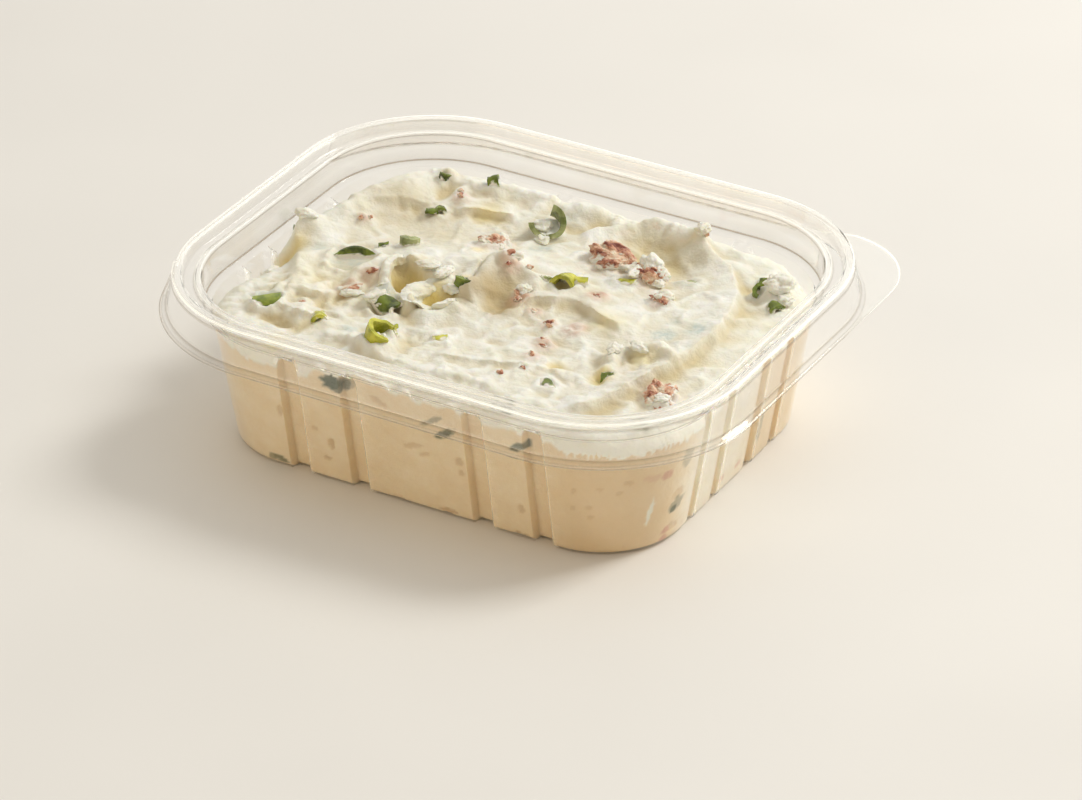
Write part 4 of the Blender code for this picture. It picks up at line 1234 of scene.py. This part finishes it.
def wall_spots(places, on_side):
    """How strongly each point of the side shows each kind of spot: bits, painted shade in voids and painted
    glow.
    """
    x, y, z = places.T
    shown = {kind: np.zeros(len(places)) for kind in WALL_SPOTS}
    for kind, spots in WALL_SPOTS.items():
        for (sx, sy, sz), (wide, high), turn, strength in spots:
            out_x, out_y = wall_out(sx, sy)
            along = (y - sy) * out_x - (x - sx) * out_y
            near = (on_side > 0.0) | (kind == "glow_and_shade")
            near &= np.hypot(along, z - sz) < 2.5 * max(wide, high)
            near &= np.abs((x - sx) * out_x + (y - sy) * out_y) < SPOT_DEPTH
            u, v = along_across(along[near], z[near] - sz, turn)
            gap = np.hypot(u / wide, v / high) + SPOT_WARP * rough_at(places[near], SPOT_WAVE, sx, 2)
            inside = np.clip((SPOT_SIZE - gap) / SPOT_EDGE, 0.0, 1.0)
            shown[kind][near] = np.maximum(shown[kind][near], strength * inside)
    return shown


def round_spots(x, y, spots, power=2):
    """The strongest of some soft round spots at each place."""
    most = np.zeros(len(x))
    for (sx, sy), size, strength in spots:
        most = np.maximum(most, strength * np.exp(-((np.hypot(x - sx, y - sy) / size) ** power)))
    return most


def hollow_shade_map(top):
    """Painted shade: how sunken or steep each place of the top is, shown as a warmer, darker tone."""
    share = np.zeros(top.z.shape)
    for cells, depth, most in HOLLOW_SIZES:
        share += np.clip((blurred(top.z, cells) - top.z) / depth, 0.0, most)
    steep = np.hypot(*np.gradient(blurred(top.z, 1), CREAM_CELL))
    share += STEEP_SHARE * ramp(steep, *STEEP)
    return np.clip(blurred(share, 1), 0.0, MOST_HOLLOW)


def make_cream(material, top):
    block = new_object("cream_cheese", *cream_block(top))
    space = new_object("inside_space", *inside_space())
    bpy.context.view_layer.update()
    trim(block, space)
    mesh = block.data
    places = points_of(mesh)
    pits = paint_cream(mesh, places, top)
    places -= PIT_DEPTH * pits[:, None] * np.array([(*wall_out(x, y), 0.0) for x, y in places[:, :2]])
    places *= MM
    mesh.vertices.foreach_set("co", places.ravel())
    mesh.update()
    finish_piece(block, material, ("cream",), 55.0)


def paint_cream(mesh, places, top):
    """Paints the values that the material reads, and returns how deep the pits are."""
    x, y, z = places.T
    i = np.clip(((x - top.xs[0]) / CREAM_CELL).round().astype(int), 0, len(top.xs) - 1)
    j = np.clip(((y - top.ys[0]) / CREAM_CELL).round().astype(int), 0, len(top.ys) - 1)
    on_side = ramp(top.z[i, j] - z, *SIDE_START)
    on_top = 1.0 - on_side
    gap = wall_gap(x, y)
    glow_and_shade, tan, deep = (round_spots(x, y, spots) for spots in (GLOW_AND_SHADE_SPOTS, TAN_SHADE_SPOTS, DEEP_SHADE_SPOTS))
    shown = wall_spots(places, on_side)
    # Painted light: the wall's cream paler where the short side is lit
    lit_wall_share = ramp(x, *BRIGHT_WALL_X) * ramp(y, *BRIGHT_WALL_Y) * (1.0 - 0.8 * ramp(y, *BRIGHT_WALL_END))
    shaded_wall_share = on_side * (1.0 - shown["white"])
    # Painted shade that grows towards the foot of the wall
    low = 0.75 + 0.25 * ramp(-z, *LOW_WALL)
    patchy = 1.0 + 0.9 * rough_at(places, 1.7, 12.0, 2)
    # Painted light and shade among these values: shade on turned-away faces, in hollows, down the wall and
    # in voids, a bright band under the rim and a glow of thin cream
    values = {
        "deep": deep * on_top,
        "lit_band": on_top * (1.0 - ramp(gap, *LIT_BAND)),
        "hollow_shade": np.maximum(hollow_shade_map(top)[i, j], tan) * on_top * ramp(gap, *INLAND),
        "glow_and_shade": np.maximum(glow_and_shade * on_top, shown["glow_and_shade"]),
        "side": shaded_wall_share * (1.0 - BRIGHT_WALL * lit_wall_share),
        "warm_shade": shaded_wall_share * low * round_spots(x, y, WARM_SHADE_WALLS, 4),
        "pit_shade": shown["pit_shade"],
    }
    for kind, spots in TOP_TINTS.items():
        tint = patchy * on_top * round_spots(x, y, spots, 4)
        values[kind] = np.maximum(tint, shown.get(kind, 0.0))
    for name, shares in values.items():
        paint(mesh, name, shares)
    return shown["pit_shade"]


# Toppings

def unit_ball(detail):
    """Points and faces of a ball, from a cube whose faces are divided and rounded."""
    places, faces, index = [], [], {}
    for axis, sign, a, b in product(range(3), (-1.0, 1.0), range(detail), range(detail)):
        corners = ((a, b), (a + 1, b), (a + 1, b + 1), (a, b + 1))
        face = []
        for u, v in corners if sign > 0.0 else corners[::-1]:
            point = [0.0, 0.0, 0.0]
            point[axis] = sign
            point[(axis + 1) % 3] = math.tan((2.0 * u / detail - 1.0) * math.pi / 4.0)
            point[(axis + 2) % 3] = math.tan((2.0 * v / detail - 1.0) * math.pi / 4.0)
            key = tuple(round(p, 5) for p in point)
            if key not in index:
                index[key] = len(places)
                places.append(Vector(point).normalized())
            face.append(index[key])
        faces.append(face)
    return np.array(places), faces


def turned(places, degrees):
    """Points turned about X, Y and Z in turn."""
    spin = np.array(Euler([math.radians(d) for d in degrees], "XYZ").to_matrix())
    return places @ spin.T


def lump(size, seed, detail, depth, fibre=0.0, grain=0.0):
    """A knobbly scrap: a ball pushed in and out by noise, with long fibres if wanted."""
    places, faces = unit_ball(detail)
    swell = depth * rough_at(places, 0.9, seed, 2) + 0.25 * depth * rough_at(places, 0.4, seed + 7.0, 1)
    if fibre:
        swell += fibre * rough_at(places * FIBRE_STRETCH, 0.3, seed + 3.0, 2)
    if grain:
        swell += grain * rough_at(places, 0.17, seed + 5.0, 2)
    return places * (1.0 + swell)[:, None] * np.array(size), faces


def scrap(size, seed):
    """A torn scrap of bacon: a few fibrous lumps pressed together."""
    draw = random.Random(seed)
    parts = []
    for k in range(SCRAP_LUMPS):
        angle = 2.0 * math.pi * (k + draw.uniform(-0.3, 0.3)) / SCRAP_LUMPS
        share = 0.0 if k == 0 else SCRAP_SPREAD
        offset = (math.cos(angle) * size[0], math.sin(angle) * size[1], draw.uniform(-0.2, 0.3) * size[2])
        sizes = [s * draw.uniform(0.52, 0.72) for s in size]
        places, faces = lump(sizes, seed + 3.1 * k, detail=26, depth=0.3, fibre=0.1, grain=0.09)
        places = turned(places, (draw.uniform(-25, 25), draw.uniform(-25, 25), draw.uniform(-50, 50)))
        parts.append((places + share * np.array(offset), faces))
    return gather(parts)


def sheet_faces(rows, columns):
    """Faces of a closed sheet: two skins of points, row by row, joined round the border."""
    across = columns + 1
    skin_size = (rows + 1) * across
    faces = []
    for r, c in product(range(rows), range(columns)):
        a = r * across + c
        b = skin_size + a
        faces.append((a, a + 1, a + across + 1, a + across))
        faces.append((b + across, b + across + 1, b + 1, b))
    border = [c for c in range(columns)] + [r * across + columns for r in range(rows)]
    border += [rows * across + c for c in range(columns, 0, -1)] + [r * across for r in range(rows, 0, -1)]
    for a, b in zip(border, border[1:] + border[:1]):
        faces.append((a, a + skin_size, b + skin_size, b))
    return faces


def curved_sheet(length, radius, sweep, thick, seed, wave=0.5, rows=26, columns=14, point=0.0):
    """A piece of stem wall: a sheet bent round the X axis, with its middle towards Z."""
    places = []
    for skin, r, c in product((1.0, -1.0), range(rows + 1), range(columns + 1)):
        u = c / columns - 0.5
        turn = math.radians(sweep) * (r / rows - 0.5) * (1.0 - point * (2.0 * u) ** 2)
        wide = radius * (1.0 + STEM_FLARE * u) + skin * thick / 2.0
        wide += wave * noise.noise(Vector((turn * 1.2, u * 2.0, seed)))
        torn = STEM_TEAR * length * noise.noise(Vector((turn * 1.5, seed, 3.0 if u > 0 else 6.0)))
        x = length * u + (torn if abs(u) > 0.3 else 0.0)
        places.append((x, wide * math.sin(turn), wide * math.cos(turn)))
    return np.array(places), sheet_faces(rows, columns)


def set_along(places, axis, middle):
    """Turns a piece so that its X runs along the axis and its Z towards the middle."""
    ahead = Vector(axis).normalized()
    up = Vector(middle)
    up = (up - up.dot(ahead) * ahead).normalized()
    aside = up.cross(ahead)
    return places @ np.array((ahead, aside, up))


def smear_on(piece, top, reach, seed, heart=0.0):
    """Marks where cream coats a topping: low down, in patches, and over its middle if wanted."""
    places = points_of(piece.data) / MM
    above = places[:, 2] - np.array([top.at(x, y) for x, y, _ in places])
    patches = rough_at(places, 1.5, seed, 3)
    middle = places.mean(axis=0)
    out = np.linalg.norm((places - middle) / (places.std(axis=0) + 0.3), axis=1)
    centre = heart * np.exp(-((out / 1.5) ** 2))
    paint(piece.data, "smear", (reach - above) / SMEAR_FADE + SMEAR_PATCHES * patches + centre)


# A topping: its piece, the node it stands for, its kind, where it lies and how far it is lifted, its
# long axis and its middle's direction, its sizes, how high cream coats it and how much more so in
# its middle. A scrap's sizes are its halves, and a stem's are length, radius, sweep and thickness.
Topping = namedtuple("Topping", "name node kind place lift axis middle sizes smear heart")
TOPPINGS = (
    Topping("bacon_scrap_left", "bacon_large_left", "bacon", (12.3, 27.6), 0.7, (0.9, -0.3, 0),
            (0, 0, 1), (5.8, 4.1, 3.0), 1.7, -0.4),
    Topping("bacon_scrap_right", "bacon_large_right", "bacon", (23.0, 26.0), 0.9, (0.8, 0.5, 0),
            (0, 0, 1), (3.9, 3.4, 3.0), 2.0, -3.2),
    Topping("bacon_scrap_front", "bacon_front_right", "bacon", (54.2, -24.6), 0.0, (0.3, -1, -0.1),
            (0, 0, 1), (5.2, 3.0, 2.3), 1.3, -0.3),
    Topping("bacon_scrap_back", "bacon_back", "bacon", (-16.6, 19.4), 0.0, (0.9, -0.2, 0), (0, 0, 1),
            (4.4, 3.1, 2.2), 1.5, 0.0),
    Topping("onion_open_ring", "onion_ring", "bright", (-16.0, -36.4), 0.1, (0.42, 0.1, 0.9),
            (-1.0, -0.35, 0.3), (5.8, 3.1, 250.0, 1.1), -0.3, 0.0),
    Topping("onion_cut_stem", "onion_cut", "bright", (8.6, 9.8), 0.4, (0.1, -0.95, 0.22), (0.25, 0, 1),
            (4.6, 2.6, 190.0, 1.0), 0.0, 0.0),
    Topping("onion_folded", "onion_fold", "dark", (-24.6, -18.8), -0.3, (0.96, -0.24, -0.1),
            (0, -0.3, 1), (8.2, 2.5, 290.0, 1.0), 2.2, 0.3),
    Topping("onion_flat_oval", "onion_oval", "mid", (-50.4, -32.4), -3.2, (0.8, 0.6, 0.0),
            (0.1, -0.3, 0.93), (6.4, 4.2, 48.0, 1.2), 0.7, -0.5),
    Topping("onion_dome_leaf", "onion_dome", "grey", (-10.0, 33.6), 0.9, (0.43, -0.62, 0.62),
            (0.72, -0.05, -0.69), (4.6, 3.7, 250.0, 1.3), 0.6, 0.6),
    Topping("onion_dark_leaf", "onion_leaf", "dark", (-42.4, -5.3), 2.3, (0.87, 0.5, 0.03),
            (-0.1, 0.42, -0.9), (12.4, 3.4, 140.0, 0.7), 0.5, 1.5),
)


def make_toppings(materials, top):
    for seed, topping in enumerate(TOPPINGS):
        if topping.kind == "bacon":
            places, faces = scrap(topping.sizes, float(seed))
        else:
            point = LEAF_POINT if topping.node == "onion_leaf" else 0.0
            places, faces = curved_sheet(*topping.sizes, float(seed), point=point)
        base = top.at(*topping.place) + topping.lift
        places = set_along(places, topping.axis, topping.middle) + np.array((*topping.place, base))
        slot = "bacon" if topping.kind == "bacon" else "spring_onion"
        piece = add_piece(topping.name, places, faces, materials[topping.kind], slot, (topping.node,), 50.0)
        smear_on(piece, top, topping.smear, 30.0 + seed, topping.heart)


# Small bits of stem: the place, the height of the tube's middle, its axis, its outward middle
# and its length, radius, sweep and thickness
CHIPS = {
    "dark": (
        ((-65.0, 6.4), 0.9, (0.3, -0.2, 1), (0.5, -1, 0), (3.4, 1.8, 220.0, 0.9)),
        ((-64.2, 8.4), 0.5, (1, 0.2, 0.4), (0, -0.4, 1), (2.4, 1.5, 150.0, 0.9)),
        ((-11.2, -5.2), 0.2, (0.2, 0.2, 1), (0.4, -0.7, 0.3), (2.5, 1.5, 130.0, 1.5)),
        ((-39.2, 26.6), -0.2, (0.9, 0.4, 0), (0, 0.3, 1), (3.2, 1.4, 130.0, 0.9)),
        ((-37.8, 28.2), 0.0, (0.5, -0.8, 0.1), (0, 0, 1), (2.2, 1.3, 150.0, 0.9)),
        ((-39.8, 4.6), -0.6, (0.8, 0.6, 0), (0, -0.3, 1), (2.6, 1.4, 120.0, 0.9)),
        ((-31.6, 44.2), 0.3, (0.8, 0.4, 0.2), (0, -0.5, 1), (2.8, 1.5, 180.0, 1.0)),
        ((-43.8, 40.4), -0.1, (0.2, 0.3, 1), (0.4, -1, 0), (2.2, 1.1, 150.0, 0.8)),
        ((28.4, -33.2), -1.4, (0.75, -0.62, 0), (-0.1, -0.2, 1), (5.4, 1.9, 110.0, 0.9)),
        ((38.8, -22.6), -0.8, (0.9, 0.5, 0), (0, -0.3, 1), (3.2, 1.6, 120.0, 0.9)),
        ((48.4, 39.6), 0.0, (0.8, 0.4, 0), (0, -0.4, 1), (3.6, 1.6, 160.0, 0.9)),
        ((51.6, 30.2), 0.0, (0.3, -0.4, 1), (-1, -0.3, 0), (3.4, 1.6, 150.0, 0.9)),
        ((57.4, 27.2), 0.0, (0.8, -0.5, 0), (0, -0.4, 1), (3.2, 1.7, 160.0, 0.9)),
    ),
    "bright": (
        ((-33.8, -34.6), -0.4, (0.5, -0.8, 0.1), (-0.3, -0.2, 1), (3.4, 1.6, 170.0, 1.0)),
        ((-15.0, -31.4), 0.6, (0.9, 0.3, 0.4), (0, -0.4, 1), (2.8, 1.5, 160.0, 1.0)),
        ((-5.4, -25.8), -1.3, (0.9, 0.4, 0), (0, -0.2, 1), (3.4, 1.9, 100.0, 0.9)),
        ((19.4, 20.2), -1.2, (0.95, 0.3, 0), (0, -0.3, 1), (6.0, 1.7, 110.0, 0.8)),
        ((12.0, 11.6), -0.3, (0.9, 0.3, -0.1), (0, -0.3, 1), (3.2, 1.4, 120.0, 0.9)),
    ),
    "grey": (
        ((-35.4, 9.6), 0.8, (0.1, 0.1, 1), (0.43, -0.75, 0.3), (3.8, 2.0, 120.0, 1.8)),
        ((32.8, 29.6), -1.6, (0.9, 0.3, 0), (0, -0.3, 1), (3.6, 1.9, 90.0, 0.9)),
        ((3.4, 8.2), -0.7, (0.1, 0.4, 1), (0.8, -0.6, 0), (3.6, 1.5, 140.0, 1.0)),
    ),
}

# Small bits of bacon: where they lie, how long they are and how high they stand
BACON_BITS = (
    ((31.6, 15.4), 4.0, 0.3), ((33.8, 14.2), 2.6, 0.5), ((-5.6, 7.8), 2.2, 0.4),
    ((-4.6, 5.4), 1.8, 0.3), ((-0.4, 7.9), 2.0, 0.3), ((2.2, -2.0), 2.6, 0.5), ((1.2, -0.4), 1.8, 0.6),
    ((8.1, -3.8), 2.0, 0.2), ((13.8, -7.4), 2.6, 0.5), ((15.0, -8.6), 1.6, 0.3),
    ((18.0, -16.1), 2.2, 0.0), ((16.4, -13.8), 1.6, 0.0), ((18.2, -22.6), 1.8, 0.2),
    ((19.5, -29.4), 2.2, 0.1), ((16.1, -34.1), 1.5, 0.2), ((18.1, 9.3), 3.4, -0.5),
    ((-51.9, 13.8), 2.0, 0.2), ((-50.4, 15.4), 1.5, 0.2), ((-35.9, 35.3), 2.0, 0.3),
    ((-37.6, 37.8), 1.5, 0.3), ((-33.1, -11.9), 2.2, 0.4), ((-34.6, -17.8), 3.2, -0.2),
    ((-42.1, -29.1), 1.4, 0.0), ((25.5, 48.8), 2.6, 0.5), ((27.0, 47.4), 1.8, 0.4),
    ((20.6, -6.3), 3.0, -0.8), ((52.6, -19.0), 2.6, 0.1), ((6.7, 30.6), 2.6, 0.6),
)

# Torn petals of cream: the foot's path, the rim's path with its heights, and how far the
# petal sags between them
PETALS = (
    (((-16.6, -5.4), (-17.8, -8.6), (-17.4, -11.8), (-14.8, -14.0)),
     ((-20.6, -8.6, 38.6), (-21.4, -12.2, 38.6), (-21.4, -16.4, 38.3), (-19.8, -18.2, 37.8),
      (-17.0, -17.4, 37.2), (-13.4, -17.6, 36.2)), 0.5),
    (((-27.6, -15.4), (-30.4, -10.4), (-31.4, -6.0), (-29.6, -2.4)),
     ((-26.0, -15.8, 38.6), (-29.2, -10.6, 39.8), (-30.2, -6.2, 40.4), (-28.2, -2.9, 40.2)), 0.0),
    (((-13.6, -14.4), (-11.4, -12.6), (-10.2, -9.8)),
     ((-14.6, -16.0, 37.0), (-11.6, -14.8, 37.3), (-9.4, -11.4, 37.2)), 0.2),
)
# Painted shade laid evenly over the dabs
DAB_SHADE = 0.1
# Dabs of cream on and beside the toppings and the curls: the place, the lift and the half sizes
DABS = (
    ((14.4, 28.8), 1.9, (2.4, 1.7, 1.0)), ((18.0, 26.6), 0.9, (2.6, 1.8, 1.0)),
    ((22.6, 28.4), 1.4, (4.0, 2.6, 2.4)), ((25.6, 27.0), 0.8, (2.2, 2.4, 1.8)),
    ((20.4, 23.8), 0.4, (2.8, 1.5, 0.9)), ((26.0, 24.6), 0.3, (2.2, 1.6, 1.0)),
    ((-10.8, 32.6), 0.9, (2.6, 2.1, 1.6)), ((-9.0, 29.8), 0.1, (2.6, 1.7, 0.9)),
    ((-16.0, -36.2), -0.1, (1.8, 1.7, 1.6)), ((-27.6, -19.2), 1.1, (2.9, 1.9, 1.3)),
    ((-25.2, -19.6), 1.6, (1.8, 1.5, 0.9)), ((-22.0, -2.8), 1.4, (3.4, 2.0, 1.0)),
    ((-17.0, -4.2), 1.2, (3.0, 1.8, 1.0)), ((-13.4, -6.8), 0.7, (3.0, 1.9, 1.1)),
    ((-5.2, 9.4), 0.4, (2.6, 1.6, 0.9)), ((2.2, 1.6), 0.3, (2.0, 1.8, 1.1)),
    ((32.6, 16.4), 0.5, (2.6, 2.0, 1.2)), ((55.6, 33.6), 0.8, (3.6, 3.0, 2.2)),
    ((52.6, 34.8), 0.5, (2.6, 2.2, 1.4)), ((57.6, 30.6), 0.3, (2.2, 2.2, 1.2)),
    ((-62.4, 4.6), 0.0, (2.2, 3.2, 1.2)), ((-60.4, -14.0), 0.2, (2.4, 2.8, 1.1)),
    ((55.4, -26.2), 0.9, (2.0, 1.6, 0.9)), ((36.2, -14.4), 0.2, (2.4, 1.8, 1.0)),
    ((41.0, -11.2), 0.4, (2.8, 1.8, 1.1)), ((8.8, 12.8), 0.3, (3.2, 1.4, 0.9)),
    ((-16.0, 21.8), 1.0, (2.4, 1.4, 0.8)), ((-34.8, -19.4), 0.2, (3.0, 1.6, 0.9)),
    ((26.4, 47.6), 0.5, (2.2, 1.8, 1.4)),
)


def make_dabs(material, top):
    parts = []
    for k, (place, lift, size) in enumerate(DABS):
        places, faces = lump(size, 2.7 * k, detail=21, depth=0.42, grain=0.07)
        places = turned(places, (0.0, 0.0, 67.0 * k))
        parts.append((places + np.array((*place, top.at(*place) + lift)), faces))
    piece = add_piece("cream_dabs", *gather(parts), material, "cream_cheese")
    # A little painted shade over the dabs
    paint(piece.data, "hollow_shade", np.full(len(piece.data.vertices), DAB_SHADE))


def petal_sheet(foot, rim, sag, top, seed):
    """A thin sheet between a foot sunk in the cream and a free rim, thinner and torn at the rim."""
    foot, rim = smooth_path(foot, PETAL_STEPS), smooth_path(rim, PETAL_STEPS)
    columns = len(rim) - 1
    share = np.linspace(0.0, 1.0, columns + 1)
    foot = np.column_stack([np.interp(share, np.linspace(0.0, 1.0, len(foot)), line) for line in foot.T])
    shift = Vector((0.0, 0.0, seed))
    places = []
    for skin, r, c in product((1.0, -1.0), range(PETAL_ROWS + 1), range(columns + 1)):
        t = r / PETAL_ROWS
        low = np.array((*foot[c], top.at(*foot[c]) - PETAL_SINK))
        ends = math.sin(math.pi / 2.0 * min(1.0, 0.3 + 3.5 * min(share[c], 1.0 - share[c])))
        torn = noise.fractal(Vector((rim[c][0] / 1.6, rim[c][1] / 1.6, seed)), *FRACTAL, 3)
        place = low + (rim[c] - low) * t * (ends + PETAL_TEAR * torn)
        place[2] += (PETAL_BULGE - sag) * math.sin(math.pi * t)
        place += PETAL_ROUGH * np.array(noise.noise_vector(Vector(place) / PETAL_WAVE + shift))
        ahead = rim[min(c + 1, columns)][:2] - rim[max(c - 1, 0)][:2]
        ahead = ahead / np.linalg.norm(ahead)
        half = 0.5 * skin * (PETAL_FOOT + (PETAL_RIM - PETAL_FOOT) * t)
        places.append((place[0] + half * ahead[1], place[1] - half * ahead[0], place[2]))
    return np.array(places), sheet_faces(PETAL_ROWS, columns)


def gather(parts):
    """Joins (places, faces) pairs into one."""
    places, faces, base = [], [], 0
    for part_places, part_faces in parts:
        places.append(part_places)
        faces += [tuple(base + v for v in face) for face in part_faces]
        base += len(part_places)
    return np.concatenate(places), faces


def make_petals(material, top):
    noise.seed_set(PETAL_SEED)
    parts = [petal_sheet(foot, rim, sag, top, 3.0 * k) for k, (foot, rim, sag) in enumerate(PETALS)]
    piece = add_piece("cream_petals", *gather(parts), material, "cream_cheese", (), 60.0)
    # Painted glow of light through the thin petals, strongest at their foot
    foot_share = np.linspace(1.0, -0.4, PETAL_ROWS + 1)
    glow_and_shade = [np.tile(np.repeat(foot_share, len(places) // 2 // (PETAL_ROWS + 1)), 2) for places, _ in parts]
    paint(piece.data, "glow_and_shade", PETAL_GLOW * np.concatenate(glow_and_shade))


def make_bits(materials, top):
    for kind, chips in CHIPS.items():
        parts = []
        for k, (place, lift, axis, middle, sizes) in enumerate(chips):
            places, faces = curved_sheet(*sizes, 5.0 * k, wave=0.3, rows=16, columns=10)
            places = set_along(places, axis, middle) + np.array((*place, top.at(*place) + lift))
            parts.append((places, faces))
        piece = add_piece("onion_chips_" + kind, *gather(parts), materials[kind], "spring_onion", (), 50.0)
        smear_on(piece, top, 1.0, 60.0)
    draw = random.Random(9)
    parts = []
    for (x, y), size, lift in BACON_BITS:
        sizes = (0.55 * size, size * draw.uniform(0.3, 0.42), size * draw.uniform(0.22, 0.34))
        places, faces = lump(sizes, draw.uniform(0, 50), detail=16, depth=0.45, fibre=0.16)
        places = turned(places, (draw.uniform(-20, 20), draw.uniform(-20, 20), draw.uniform(0, 360)))
        parts.append((places + np.array((x, y, top.at(x, y) + lift)), faces))
    piece = add_piece("bacon_bits", *gather(parts), materials["bacon"], "bacon")
    smear_on(piece, top, 0.7, 70.0)


# Stage, lights and camera

def make_floor():
    places = [(x * FLOOR_HALF, y * FLOOR_HALF, 0.0) for x, y in ((-1, -1), (1, -1), (1, 1), (-1, 1))]
    floor = new_object("floor", places, [(0, 1, 2, 3)])
    floor.data.materials.append(floor_material())


def add_light(name, place, size, power, colour, glints=True):
    """A soft square light that faces the middle of the tub, seen in reflections if wanted."""
    lamp = bpy.data.lights.new(name, "AREA")
    lamp.size = size
    lamp.energy = power
    lamp.color = colour
    thing = bpy.data.objects.new(name, lamp)
    bpy.context.scene.collection.objects.link(thing)
    thing.visible_glossy = glints
    thing.location = place
    aim = Vector((0.0, 0.0, 0.03)) - Vector(place)
    thing.rotation_mode = "QUATERNION"
    thing.rotation_quaternion = aim.to_track_quat("-Z", "Y")


def studio_world():
    """A pale studio: brighter above and behind the tub than in front of it."""
    world = bpy.data.worlds.new("studio")
    world.use_nodes = True
    tree = world.node_tree
    place = tree.nodes.new("ShaderNodeTexCoord")
    towards = tree.nodes.new("ShaderNodeVectorMath")
    towards.operation = "DOT_PRODUCT"
    towards.inputs[1].default_value = Vector(BRIGHT_SIDE).normalized()
    feed(tree, towards.inputs[0], place.outputs["Generated"])
    colour = ramp_node(tree, towards.outputs["Value"], STUDIO_STOPS)
    feed_all(tree, tree.nodes["Background"], {"Color": colour, "Strength": STUDIO_LIGHT})
    return world


def make_lights():
    bpy.context.scene.world = studio_world()
    add_light("key", (0.60, 0.80, 0.86), 0.4, 8.6, (1.0, 0.985, 0.95), False)
    add_light("glint", (0.60, 0.80, 0.86), 0.4, 1.8, (1.0, 0.985, 0.95))
    add_light("side", (1.25, -0.25, 0.40), 1.2, 2.8, (1.0, 0.95, 0.86))
    add_light("fill", (-0.55, -1.25, 0.42), 0.7, 4.2, (1.0, 0.87, 0.68))
    bpy.context.scene.view_settings.view_transform = "Standard"


def make_camera():
    turn, rise = math.radians(CAMERA_TURN), math.radians(CAMERA_RISE)
    back = Vector((math.cos(rise) * math.cos(turn), math.cos(rise) * math.sin(turn), math.sin(rise)))
    camera = bpy.data.cameras.new("camera")
    camera.lens = LENS
    camera.sensor_width = SENSOR
    camera.clip_start = 0.01
    thing = bpy.data.objects.new("camera", camera)
    bpy.context.scene.collection.objects.link(thing)
    thing.location = (Vector(TARGET) + back * CAMERA_DISTANCE) * MM
    thing.rotation_mode = "QUATERNION"
    level = (-back).to_track_quat("-Z", "Y")
    thing.rotation_quaternion = Quaternion(back, math.radians(CAMERA_ROLL)) @ level
    bpy.context.scene.camera = thing


def main():
    materials = {
        "clear": clear_plastic(),
        "cream": cream_material(),
        "bacon": bacon_material(),
    }
    for kind, tones in ONION_TONES.items():
        materials[kind] = onion_material("onion_" + kind, *tones)
    top = Top()
    make_cream(materials["cream"], top)
    make_toppings(materials, top)
    make_bits(materials, top)
    make_petals(materials["cream"], top)
    make_dabs(materials["cream"], top)
    make_tub(materials["clear"])
    make_floor()
    make_lights()
    make_camera()
    scene = bpy.context.scene
    scene.cycles.transparent_max_bounces = 24
    scene.cycles.transmission_bounces = 16
    scene.cycles.max_bounces = 20


main()
